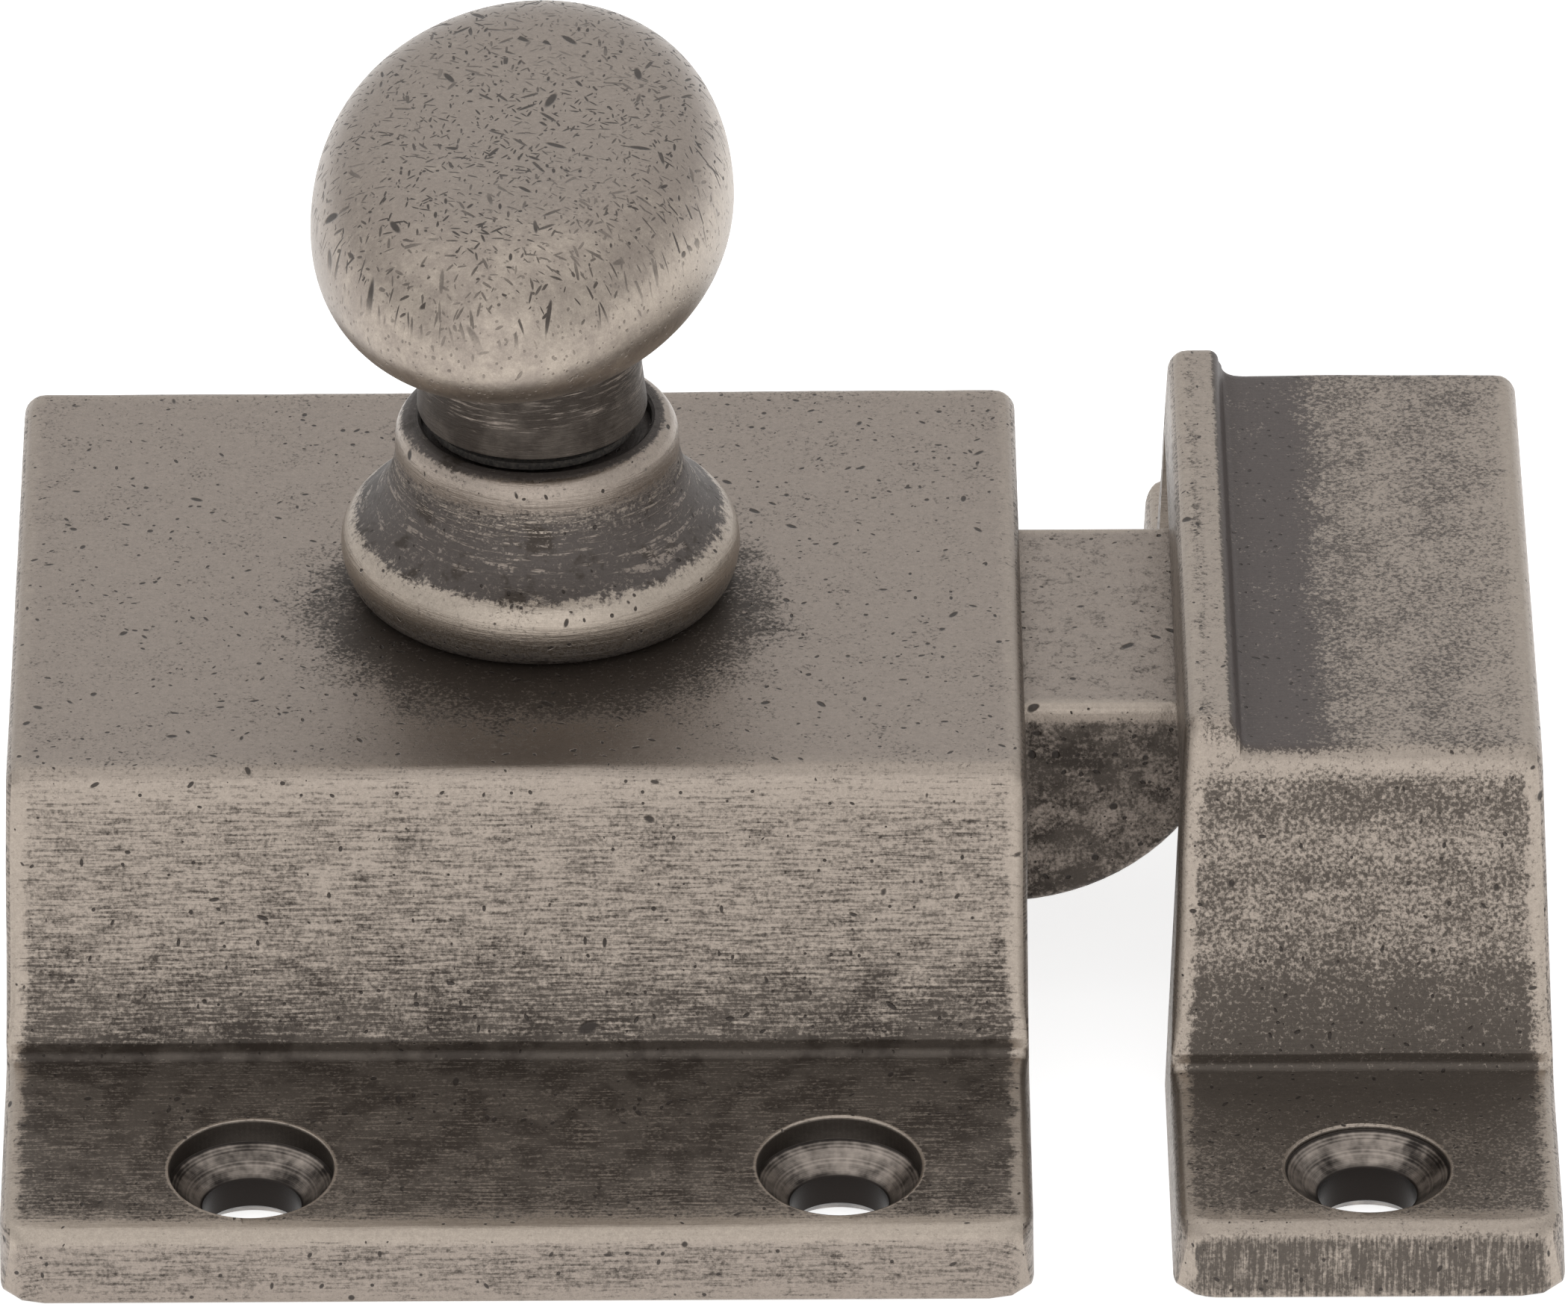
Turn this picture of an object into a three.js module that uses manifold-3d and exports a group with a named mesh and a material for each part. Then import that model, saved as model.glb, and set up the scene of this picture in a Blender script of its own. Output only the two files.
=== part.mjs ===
// Surface-mounted cabinet turn latch with its strike: millimetres, +Z out of the mounting plane,
// +X along the bolt's throw. The case is centred on the origin and its back lies in z = 0.
// Turning the knob clockwise, seen from above, swings a cam lobe that draws the bolt into the case.
import * as THREE from "three";
import { mergeVertices } from "three/addons/utils/BufferGeometryUtils.js";
import Module from "manifold-3d";

const wasm = await Module();
wasm.setup();

// General
const GAP = 0.3; // clearance left between neighbouring pieces
const OVER = 1; // how far cutting tools run past a surface
const EDGE = 0.5; // rounding of the castings' end edges
const RIDGE = 0.95; // rounding of the castings' long edges
const EDGE_STEPS = 2;
const CURVE_STEPS = 5;
const ROUND_STEPS = 36;
const SMALL_ROUND_STEPS = 20;
const WELD = 1e-4; // vertices closer than this are one

// Case casting
const CASE_WIDTH = 34.25; // along X at the mounting plane
const CASE_TOP_WIDTH = 34;
const CASE_LENGTH = 51.1; // along Y
const CASE_HEIGHT = 13.1;
const CASE_TOP_HALF = 13.1; // half length of the flat top along Y
const CASE_WALL = 1.2;
const ROOF_THICKNESS = 1.3;
const CORNER_RADIUS = 1.5; // upright corners of the wings
const PLAN_SLACK = 0.06; // the rounded plan outline stands this far off the flat sides
const COVE_RUN = 2.8;
const COVE_SAG = 0.4;
const CASE_FOOT_HEIGHT = 3.4; // wing height where the cove lands
const CASE_LIP_HEIGHT = 2.6; // wing height at its outer end

// Strike casting
const STRIKE_WIDTH = 13;
const STRIKE_TOP_WIDTH = 11.95;
const STRIKE_HEIGHT = 13.65;
const STRIKE_GAP = 4.6; // from the case to the strike at the mounting plane
const STRIKE_WING_HEIGHT = 2.7;
const RIB_WIDTH = 1.9;
const RIB_HEIGHT = 14.75;
const RIB_END_SLOPE = 0.1; // the rib's ends lean in by this much per millimetre of height
const STRIKE_WALL = 1.4;
const STRIKE_HOLLOW_HALF = 12; // half length of the hollow the bolt enters, open to the left

// Wood-screw holes in the wings
const HOLE_SPACING = 19.5;
const HOLE_SHIFT = 0.94; // hole pair's centre from the case's centre
const HOLE_INSET = 3.9; // from a wing's outer end
const HOLE_RADIUS = 1.65;
const HEAD_RADIUS = 2.72;
const CASE_COUNTERBORE = 0.6;
const STRIKE_COUNTERBORE = 0.15;

// Bolt
const BOLT_WIDTH = 12.3;
const BOLT_TOP = 11.45;
const BOLT_BOTTOM = 3.75;
const BOLT_TIP = 24; // x of the nose when thrown
const NOSE_FLAT = 0.25; // length of the flat lip over the nose's tip
const NOSE_END_ANGLE = -0.06; // where the nose's quarter round meets the lip, radians
const BRIDGE_THICKNESS = 1.8;
const TAIL_THICKNESS = 1.8;
const SHOULDER_WIDTH = 14;
const SHOULDER_LENGTH = 2;
const STUB_LENGTH = 1.8;
const STUB_RADIUS = 1.3;

// Knob, spindle and rose
const AXIS_X = 0.55; // the knob turns about this line
const HEAD_LENGTH = 22.7;
const HEAD_WIDTH = 14;
const HEAD_TURN = -7; // degrees from the Y axis at rest
const HEAD_RIM_Z = 27.2;
const HEAD_CROWN = 3.5;
const HEAD_DROP = 2.4;
const HEAD_FULLNESS = 0.3; // 1 is an ellipse in section, 0 a straight-sided disc
const HEAD_OFFSET = -0.25; // the head sits a little to the left of its neck
const HEAD_RINGS = 16;
const NECK_RADIUS = 3.88;
const NECK_BOTTOM = 19.75;
const NECK_WAIST = 3.7;
const NECK_CHAMFER = 0.2;
const NECK_BAND = 0.9; // height of the plain band at the neck's foot
const NECK_SHOULDER = 1; // height above the head's underside where the neck is full again
const SPINDLE_RADIUS = 2.1;
const SPINDLE_SQUARE = 2.9;
const SPINDLE_TOP = 25.2;
const TANG_RADIUS = 1.6;
const SPIGOT_RADIUS = 3.25;
const KNOB_WASHER_THICKNESS = 0.25;
const KNOB_WASHER_RADIUS = 3.5;
const ROSE_TOP = 19.4;
const ROSE_LIP_RADIUS = 4.34;
const ROSE_RECESS_RADIUS = 3.85;
const ROSE_RECESS_FLOOR = 18.9;
// Radius and height above the case's top, from the rose's foot to its collar
const ROSE_OUTLINE = [
  [5.9, 0.3],
  [6.3, 0.5],
  [6.62, 0.95],
  [6.74, 1.5],
  [6.66, 1.95],
  [6.45, 2.3],
  [6.15, 2.6],
  [5.75, 2.95],
  [5.35, 3.4],
  [5.05, 3.95],
  [4.88, 4.5],
  [4.8, 5],
  [4.78, 5.5],
  [4.7, 5.9],
  [4.54, 6.18],
];

// Cam: an involute lobe drives the bolt's tail by BASE_RADIUS millimetres per radian of knob turn
const BASE_RADIUS = 4;
const FIRST_ROLL = 0.8; // roll angle of the involute touching the tail at rest, radians
const KNOB_TURN = 75; // degrees of knob turn that draw the bolt fully
const HUB_RADIUS = 3;
const LOBE_TIP_RADIUS = 0.9;
const LOBE_TIP_SWEEP = 150; // degrees
const FLANK_START_ROLL = 0.5; // the flank runs from here, inside the hub's edge
const FLANK_OVERRUN = 0.03; // roll past the last contact, radians
const FLANK_STEPS = 16;
const HUB_START = -25; // the hub's round edge, degrees
const HUB_END = 200;
const HUB_STEPS = 18;
const TIP_STEPS = 8;
const CAM_THICKNESS = 2.7;
const WASHER_THICKNESS = 0.5;
const THRUST_WASHER_RADIUS = 3;
const CAM_WASHER_RADIUS = 2.9;
const CAM_SCREW_HEAD_RADIUS = 2.6;
const CAM_SCREW_HEAD_HEIGHT = 1.7;
const CAM_SCREW_DOME = [
  [0.8, 0],
  [0.3, 0.35],
  [0, 0.9],
]; // inset from the head's radius, height above the head's outer face
const CAM_SCREW_RADIUS = 0.9;
const SLOT_WIDTH = 0.6;

// Bolt spring and its guide
const SPRING_RADIUS = 2.2;
const SPRING_WIRE = 0.18; // radius
const SPRING_TURNS = 8;
const SPRING_STEPS_PER_TURN = 14;
const WIRE_SIDES = 6;
const GUIDE_FLANGE_RADIUS = 3;
const GUIDE_FLANGE = 0.8;
const GUIDE_ROD_RADIUS = 1.3;
const GUIDE_ROD_LENGTH = 3.3;

// Back plate and its screws
const PLATE_THICKNESS = 1;
const BOSS_X = 13.7;
const BOSS_Y = 9.7;
const BOSS_RADIUS = 2.3;
const PLATE_SCREW_RADIUS = 0.8;
const PLATE_SCREW_HEAD_RADIUS = 1.4;
const PLATE_SCREW_LENGTH = 6;
const PLATE_SCREW_SLOT = 0.4;

// Finishes
const PEWTER = { color: 0x8f8a83, roughness: 0.5, metalness: 0.9 };
const DARK_PEWTER = { color: 0x6b635c, roughness: 0.55, metalness: 0.9 };
const STEEL = { color: 0xa8a8a6, roughness: 0.4, metalness: 1 };
const SPRING_STEEL = { color: 0x8c8e90, roughness: 0.35, metalness: 1 };
const ZINC = { color: 0xb4b8ba, roughness: 0.45, metalness: 0.9 };
const FIBRE = { color: 0x2b2725, roughness: 0.9, metalness: 0 };

// Derived levels
const halfPi = Math.PI / 2;
const strikeLeft = CASE_WIDTH / 2 + STRIKE_GAP;
const strikeCentre = strikeLeft + STRIKE_WIDTH / 2;
const cavityHalfX = CASE_WIDTH / 2 - CASE_WALL;
const cavityHalfY = CASE_TOP_HALF - CASE_WALL;
const roofUnderside = CASE_HEIGHT - ROOF_THICKNESS;
const bridgeBottom = BOLT_TOP - BRIDGE_THICKNESS;
const thrustWasherTop = bridgeBottom - GAP;
const camTop = thrustWasherTop - WASHER_THICKNESS - GAP;
const camBottom = camTop - CAM_THICKNESS;
const camWasherTop = camBottom - GAP;
const camScrewHeadTop = camWasherTop - WASHER_THICKNESS - GAP;
const throwLength = BASE_RADIUS * THREE.MathUtils.degToRad(KNOB_TURN);
const tailFace = AXIS_X - BASE_RADIUS * FIRST_ROLL - GAP;
const tailBack = tailFace - TAIL_THICKNESS;
const boltRear = AXIS_X + HUB_RADIUS + throwLength + GAP;
const springAxisZ = (BOLT_TOP + BOLT_BOTTOM) / 2;
const guideRecessLeft = -cavityHalfX - CASE_WALL / 3;
const guideFlangeLeft = guideRecessLeft + GAP;
const guideFlangeRight = guideFlangeLeft + GUIDE_FLANGE;

// Solids -----------------------------------------------------------------------------------------

function solidOf(geometry) {
  const bare = geometry.clone();
  bare.deleteAttribute("normal");
  bare.deleteAttribute("uv");
  const merged = mergeVertices(bare, WELD);
  const corners = merged.index.array;
  const kept = [];
  for (let i = 0; i < corners.length; i += 3) {
    const [a, b, c] = corners.slice(i, i + 3);
    if (a !== b && b !== c && c !== a) {
      kept.push(a, b, c);
    }
  }
  return new wasm.Manifold(
    new wasm.Mesh({
      numProp: 3,
      vertProperties: new Float32Array(merged.attributes.position.array),
      triVerts: new Uint32Array(kept),
    }),
  );
}

function geometryOf(solid) {
  const mesh = solid.getMesh();
  const geometry = new THREE.BufferGeometry();
  geometry.setAttribute("position", new THREE.BufferAttribute(mesh.vertProperties, 3));
  geometry.setIndex(new THREE.BufferAttribute(mesh.triVerts, 1));
  const flat = geometry.toNonIndexed();
  flat.computeVertexNormals();
  return flat;
}

function joined(...solids) {
  return solids.reduce((sum, next) => sum.add(next));
}

function cutBy(body, ...tools) {
  return tools.reduce((rest, tool) => rest.subtract(tool), body);
}

function box(x0, x1, y0, y1, z0, z1) {
  const geometry = new THREE.BoxGeometry(x1 - x0, y1 - y0, z1 - z0);
  geometry.translate((x0 + x1) / 2, (y0 + y1) / 2, (z0 + z1) / 2);
  return solidOf(geometry);
}

// A round bar or cone along Z, from z0 with radius r0 to z1 with radius r1.
function coneZ(r0, r1, z0, z1, x = 0, y = 0, steps = ROUND_STEPS) {
  const geometry = new THREE.CylinderGeometry(r1, r0, z1 - z0, steps);
  geometry.rotateX(halfPi);
  geometry.translate(x, y, (z0 + z1) / 2);
  return solidOf(geometry);
}

function rodZ(radius, z0, z1, x = 0, y = 0, steps = ROUND_STEPS) {
  return coneZ(radius, radius, z0, z1, x, y, steps);
}

function thinRodZ(radius, z0, z1, x = 0, y = 0) {
  return rodZ(radius, z0, z1, x, y, SMALL_ROUND_STEPS);
}

function rodX(radius, x0, x1, y, z, steps = SMALL_ROUND_STEPS) {
  const geometry = new THREE.CylinderGeometry(radius, radius, x1 - x0, steps);
  geometry.rotateZ(-halfPi);
  geometry.translate((x0 + x1) / 2, y, z);
  return solidOf(geometry);
}

// A turned solid about an upright line, from [radius, z] pairs that rise outside the body.
function turnedGeometry(pairs, steps) {
  const points = pairs.map(([r, z]) => new THREE.Vector2(r, z));
  return new THREE.LatheGeometry(points, steps).rotateX(halfPi);
}

function turned(pairs, x = AXIS_X, y = 0, steps = ROUND_STEPS) {
  return solidOf(turnedGeometry(pairs, steps).translate(x, y, 0));
}

// A flat outline in X and Y, raised from z0 to z1.
function plate(shape, z0, z1) {
  const geometry = new THREE.ExtrudeGeometry(shape, {
    depth: z1 - z0,
    bevelEnabled: false,
    curveSegments: CURVE_STEPS,
  });
  geometry.translate(0, 0, z0);
  return solidOf(geometry);
}

// A section drawn in Y and Z, run along X from x0 to x1 with rounded end edges.
function runAlongX(shape, x0, x1, edge) {
  const geometry = new THREE.ExtrudeGeometry(shape, {
    depth: x1 - x0 - 2 * edge,
    bevelEnabled: edge > 0,
    bevelThickness: edge,
    bevelSize: edge,
    bevelOffset: -edge,
    bevelSegments: EDGE_STEPS,
    curveSegments: CURVE_STEPS,
  });
  geometry.translate(0, 0, x0 + edge);
  geometry.applyMatrix4(
    new THREE.Matrix4().makeBasis(
      new THREE.Vector3(0, 1, 0),
      new THREE.Vector3(0, 0, 1),
      new THREE.Vector3(1, 0, 0),
    ),
  );
  return geometry;
}

// Draws the sides in towards x = centre as z rises, as a casting's draft does.
function drafted(geometry, centre, perMillimetre) {
  const position = geometry.attributes.position;
  for (let i = 0; i < position.count; i += 1) {
    const shrink = 1 - perMillimetre * position.getZ(i);
    position.setX(i, centre + (position.getX(i) - centre) * shrink);
  }
  return geometry;
}

function roundedRectangle(x0, x1, y0, y1, radius) {
  const shape = new THREE.Shape();
  shape.moveTo(x0 + radius, y0);
  shape.lineTo(x1 - radius, y0);
  shape.absarc(x1 - radius, y0 + radius, radius, -halfPi, 0);
  shape.lineTo(x1, y1 - radius);
  shape.absarc(x1 - radius, y1 - radius, radius, 0, halfPi);
  shape.lineTo(x0 + radius, y1);
  shape.absarc(x0 + radius, y1 - radius, radius, halfPi, 2 * halfPi);
  shape.lineTo(x0, y0 + radius);
  shape.absarc(x0 + radius, y0 + radius, radius, 2 * halfPi, 3 * halfPi);
  return shape;
}

// Rounds a casting's upright corners and stands clear of its flat sides.
function castingPlan(x0, x1) {
  const end = CASE_LENGTH / 2 + PLAN_SLACK;
  return roundedRectangle(x0 - PLAN_SLACK, x1 + PLAN_SLACK, -end, end, CORNER_RADIUS);
}

// The castings' section in Y and Z: wing, cove, flat top, cove, wing.
function wingedSection(topHalf, topZ, footHalf, footZ, endHalf, endZ) {
  const chord = new THREE.Vector2(footHalf - topHalf, footZ - topZ).normalize();
  const sagY = (topHalf + footHalf) / 2 + 2 * COVE_SAG * chord.y;
  const sagZ = (topZ + footZ) / 2 - 2 * COVE_SAG * chord.x;
  const shape = new THREE.Shape();
  shape.moveTo(-endHalf, -OVER);
  shape.lineTo(endHalf, -OVER);
  shape.lineTo(endHalf, endZ - RIDGE);
  shape.quadraticCurveTo(endHalf, endZ, endHalf - RIDGE, endZ);
  shape.lineTo(footHalf, footZ);
  shape.quadraticCurveTo(sagY, sagZ, topHalf, topZ - RIDGE);
  shape.quadraticCurveTo(topHalf, topZ, topHalf - RIDGE, topZ);
  shape.lineTo(RIDGE - topHalf, topZ);
  shape.quadraticCurveTo(-topHalf, topZ, -topHalf, topZ - RIDGE);
  shape.quadraticCurveTo(-sagY, sagZ, -footHalf, footZ);
  shape.lineTo(RIDGE - endHalf, endZ);
  shape.quadraticCurveTo(-endHalf, endZ, -endHalf, endZ - RIDGE);
  return shape;
}

// A countersunk wood-screw hole with a short straight mouth, its surface at height top.
function woodScrewHole(x, y, top, counterbore) {
  const seat = top - counterbore;
  const throat = seat - (HEAD_RADIUS - HOLE_RADIUS);
  const levels = [
    [0, -OVER],
    [HOLE_RADIUS, -OVER],
    [HOLE_RADIUS, throat],
    [HEAD_RADIUS, seat],
    [HEAD_RADIUS, top + OVER],
    [0, top + OVER],
  ];
  return turned(levels, x, y, SMALL_ROUND_STEPS);
}

// Castings ---------------------------------------------------------------------------------------

function makeCase() {
  const section = wingedSection(
    CASE_TOP_HALF,
    CASE_HEIGHT,
    CASE_TOP_HALF + COVE_RUN,
    CASE_FOOT_HEIGHT,
    CASE_LENGTH / 2,
    CASE_LIP_HEIGHT,
  );
  const half = CASE_WIDTH / 2;
  const draft = (1 - CASE_TOP_WIDTH / CASE_WIDTH) / CASE_HEIGHT;
  const outside = solidOf(drafted(runAlongX(section, -half, half, EDGE), 0, draft));
  const envelope = plate(castingPlan(-half, half), 0, CASE_HEIGHT + OVER);
  const cavity = box(-cavityHalfX, cavityHalfX, -cavityHalfY, cavityHalfY, -OVER, roofUnderside);
  const windowHalf = BOLT_WIDTH / 2 + GAP;
  const window = box(
    cavityHalfX - OVER,
    half + OVER,
    -windowHalf,
    windowHalf,
    BOLT_BOTTOM - GAP,
    roofUnderside,
  );
  const spigotHole = rodZ(SPIGOT_RADIUS + GAP, roofUnderside - OVER, CASE_HEIGHT + OVER, AXIS_X);
  const guideRecess = rodX(
    GUIDE_FLANGE_RADIUS + GAP,
    guideRecessLeft,
    OVER - cavityHalfX,
    0,
    springAxisZ,
  );
  let body = cutBy(outside.intersect(envelope), cavity, window, spigotHole, guideRecess);
  for (const x of [-BOSS_X, BOSS_X]) {
    for (const y of [-BOSS_Y, BOSS_Y]) {
      const bossTop = roofUnderside + ROOF_THICKNESS / 2;
      const boss = rodZ(BOSS_RADIUS, PLATE_THICKNESS + GAP, bossTop, x, y);
      const tapping = thinRodZ(PLATE_SCREW_RADIUS + GAP, 0, PLATE_SCREW_LENGTH + OVER, x, y);
      body = body.add(boss).subtract(tapping);
    }
  }
  const wingRun = CASE_LENGTH / 2 - CASE_TOP_HALF - COVE_RUN;
  const slope = (CASE_FOOT_HEIGHT - CASE_LIP_HEIGHT) / wingRun;
  const surface = CASE_LIP_HEIGHT + HOLE_INSET * slope;
  for (const x of [HOLE_SHIFT - HOLE_SPACING / 2, HOLE_SHIFT + HOLE_SPACING / 2]) {
    for (const side of [-1, 1]) {
      const y = side * (CASE_LENGTH / 2 - HOLE_INSET);
      body = body.subtract(woodScrewHole(x, y, surface, CASE_COUNTERBORE));
    }
  }
  return body;
}

function makeStrike() {
  const end = [CASE_LENGTH / 2, STRIKE_WING_HEIGHT];
  const foot = [CASE_TOP_HALF + COVE_RUN, STRIKE_WING_HEIGHT];
  const draft = (1 - STRIKE_TOP_WIDTH / STRIKE_WIDTH) / STRIKE_HEIGHT;
  const right = strikeLeft + STRIKE_WIDTH;
  const bodySection = wingedSection(CASE_TOP_HALF, STRIKE_HEIGHT, ...foot, ...end);
  const ribTopHalf = CASE_TOP_HALF - (RIB_HEIGHT - STRIKE_HEIGHT) * RIB_END_SLOPE;
  const ribSection = wingedSection(ribTopHalf, RIB_HEIGHT, ...foot, ...end);
  const body = solidOf(
    drafted(runAlongX(bodySection, strikeLeft, right, EDGE), strikeCentre, draft),
  );
  const rib = solidOf(
    drafted(
      runAlongX(ribSection, strikeLeft, strikeLeft + RIB_WIDTH + EDGE, EDGE),
      strikeCentre,
      draft,
    ),
  );
  const envelope = plate(castingPlan(strikeLeft, right), 0, RIB_HEIGHT + OVER);
  const hollow = box(
    strikeLeft - OVER,
    right - STRIKE_WALL,
    -STRIKE_HOLLOW_HALF,
    STRIKE_HOLLOW_HALF,
    -OVER,
    BOLT_TOP + GAP,
  );
  let strike = joined(body, rib).intersect(envelope).subtract(hollow);
  for (const side of [-1, 1]) {
    const y = side * (CASE_LENGTH / 2 - HOLE_INSET);
    strike = strike.subtract(
      woodScrewHole(strikeCentre, y, STRIKE_WING_HEIGHT, STRIKE_COUNTERBORE),
    );
  }
  return strike;
}

function makeBackPlate() {
  const plan = roundedRectangle(
    GAP - cavityHalfX,
    cavityHalfX - GAP,
    GAP - cavityHalfY,
    cavityHalfY - GAP,
    GAP,
  );
  const runOut = GAP / 3;
  const mouth = PLATE_SCREW_HEAD_RADIUS + GAP + runOut;
  const throat = PLATE_SCREW_RADIUS + GAP;
  let body = plate(plan, 0, PLATE_THICKNESS);
  for (const x of [-BOSS_X, BOSS_X]) {
    for (const y of [-BOSS_Y, BOSS_Y]) {
      body = body.subtract(
        coneZ(mouth, throat, -runOut, PLATE_THICKNESS + runOut, x, y, SMALL_ROUND_STEPS),
      );
    }
  }
  return body;
}

function makePlateScrew(x, y) {
  const headBottom = GAP / 3;
  const levels = [
    [0, headBottom],
    [PLATE_SCREW_HEAD_RADIUS, headBottom],
    [PLATE_SCREW_RADIUS, PLATE_THICKNESS - GAP / 3],
    [PLATE_SCREW_RADIUS, PLATE_SCREW_LENGTH],
    [0, PLATE_SCREW_LENGTH],
  ];
  const slot = box(
    x - PLATE_SCREW_HEAD_RADIUS,
    x + PLATE_SCREW_HEAD_RADIUS,
    y - PLATE_SCREW_SLOT / 2,
    y + PLATE_SCREW_SLOT / 2,
    -OVER,
    headBottom + PLATE_SCREW_SLOT,
  );
  return turned(levels, x, y, SMALL_ROUND_STEPS).subtract(slot);
}

// Knob group -------------------------------------------------------------------------------------

function makeRose() {
  const bore = SPINDLE_RADIUS + GAP;
  const outline = ROSE_OUTLINE.map(([radius, height]) => [radius, CASE_HEIGHT + height]);
  return turned([
    [bore, roofUnderside],
    [SPIGOT_RADIUS, roofUnderside],
    [SPIGOT_RADIUS, outline[0][1]],
    ...outline,
    [ROSE_LIP_RADIUS, ROSE_TOP],
    [ROSE_RECESS_RADIUS, ROSE_TOP],
    [ROSE_RECESS_RADIUS, ROSE_RECESS_FLOOR],
    [bore, ROSE_RECESS_FLOOR],
    [bore, roofUnderside],
  ]);
}

function makeKnobWasher() {
  const middle = (ROSE_RECESS_FLOOR + NECK_BOTTOM) / 2;
  const bottom = middle - KNOB_WASHER_THICKNESS / 2;
  const top = middle + KNOB_WASHER_THICKNESS / 2;
  return rodZ(KNOB_WASHER_RADIUS, bottom, top, AXIS_X).subtract(
    rodZ(SPINDLE_RADIUS + GAP, bottom - OVER, top + OVER, AXIS_X),
  );
}

function makeKnob() {
  const crown = [];
  for (let i = 0; i <= HEAD_RINGS; i += 1) {
    const angle = -halfPi + (Math.PI * i) / HEAD_RINGS;
    const rise = angle < 0 ? HEAD_DROP : HEAD_CROWN;
    const pole = i === 0 || i === HEAD_RINGS;
    const spread = pole ? 0 : Math.pow(Math.cos(angle), HEAD_FULLNESS);
    crown.push([spread, HEAD_RIM_Z + rise * Math.sin(angle)]);
  }
  const headGeometry = turnedGeometry(crown, ROUND_STEPS);
  headGeometry.scale(HEAD_WIDTH / 2, HEAD_LENGTH / 2, 1);
  headGeometry.rotateZ(THREE.MathUtils.degToRad(HEAD_TURN));
  headGeometry.translate(AXIS_X + HEAD_OFFSET, 0, 0);
  const head = solidOf(headGeometry);
  const bandTop = NECK_BOTTOM + NECK_BAND;
  const shoulder = HEAD_RIM_Z - HEAD_DROP + NECK_SHOULDER;
  const neck = turned([
    [0, NECK_BOTTOM],
    [NECK_RADIUS - NECK_CHAMFER, NECK_BOTTOM],
    [NECK_RADIUS, NECK_BOTTOM + NECK_CHAMFER],
    [NECK_RADIUS, bandTop],
    [NECK_WAIST, bandTop + NECK_CHAMFER],
    [NECK_WAIST, shoulder - NECK_CHAMFER],
    [NECK_RADIUS, shoulder],
    [NECK_RADIUS, HEAD_RIM_Z],
    [0, HEAD_RIM_Z],
  ]);
  const tangHole = rodZ(TANG_RADIUS + GAP, NECK_BOTTOM - OVER, SPINDLE_TOP + GAP, AXIS_X);
  return joined(head, neck).subtract(tangHole);
}

function makeSpindle() {
  const shoulder = NECK_BOTTOM - GAP;
  const squareHalf = SPINDLE_SQUARE / 2;
  const squareTop = thrustWasherTop - WASHER_THICKNESS;
  const squareBottom = camBottom + GAP / 2;
  const journal = rodZ(SPINDLE_RADIUS, squareTop, shoulder, AXIS_X);
  const tang = rodZ(TANG_RADIUS, shoulder - OVER, SPINDLE_TOP, AXIS_X);
  const square = box(
    AXIS_X - squareHalf,
    AXIS_X + squareHalf,
    -squareHalf,
    squareHalf,
    squareBottom,
    squareTop + OVER,
  );
  const tappingRadius = CAM_SCREW_RADIUS + GAP / 2;
  const tapping = thinRodZ(tappingRadius, squareBottom - OVER, bridgeBottom + OVER, AXIS_X);
  return joined(journal, tang, square).subtract(tapping);
}

function makeWasher(outer, inner, top) {
  return rodZ(outer, top - WASHER_THICKNESS, top, AXIS_X).subtract(
    rodZ(inner, top - WASHER_THICKNESS - OVER, top + OVER, AXIS_X),
  );
}

// Point of the involute at a roll angle, seen from the knob's axis.
function involutePoint(roll) {
  const start = -halfPi - FIRST_ROLL;
  const x = BASE_RADIUS * (Math.cos(roll) + roll * Math.sin(roll));
  const y = BASE_RADIUS * (Math.sin(roll) - roll * Math.cos(roll));
  return new THREE.Vector2(x, y).rotateAround(new THREE.Vector2(), start);
}

function arcPoints(centre, radius, start, sweep, steps) {
  const points = [];
  for (let i = 0; i <= steps; i += 1) {
    const angle = start + (sweep * i) / steps;
    points.push(new THREE.Vector2(radius, 0).rotateAround(new THREE.Vector2(), angle).add(centre));
  }
  return points;
}

function makeCam() {
  const lastRoll = FIRST_ROLL + THREE.MathUtils.degToRad(KNOB_TURN) + FLANK_OVERRUN;
  const hubStart = THREE.MathUtils.degToRad(HUB_START);
  const hubSweep = THREE.MathUtils.degToRad(HUB_END) - hubStart;
  const hub = arcPoints(new THREE.Vector2(), HUB_RADIUS, hubStart, hubSweep, HUB_STEPS);
  const flank = [];
  for (let i = 0; i <= FLANK_STEPS; i += 1) {
    const share = i / FLANK_STEPS;
    flank.push(involutePoint(FLANK_START_ROLL + (lastRoll - FLANK_START_ROLL) * share));
  }
  // The tip's round starts where the flank ends, with the flank's own outward normal.
  const normalAngle = lastRoll - FIRST_ROLL - Math.PI;
  const toCentre = new THREE.Vector2(-LOBE_TIP_RADIUS, 0).rotateAround(
    new THREE.Vector2(),
    normalAngle,
  );
  const tipCentre = toCentre.add(flank[FLANK_STEPS]);
  const tipSweep = THREE.MathUtils.degToRad(LOBE_TIP_SWEEP);
  const tip = arcPoints(tipCentre, LOBE_TIP_RADIUS, normalAngle, tipSweep, TIP_STEPS);
  const outline = [...hub, ...flank, ...tip.slice(1)];
  outline.forEach((point) => point.setX(point.x + AXIS_X));
  const squareHalf = SPINDLE_SQUARE / 2 + GAP;
  const square = box(
    AXIS_X - squareHalf,
    AXIS_X + squareHalf,
    -squareHalf,
    squareHalf,
    camBottom - OVER,
    camTop + OVER,
  );
  return plate(new THREE.Shape(outline), camBottom, camTop).subtract(square);
}

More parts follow.
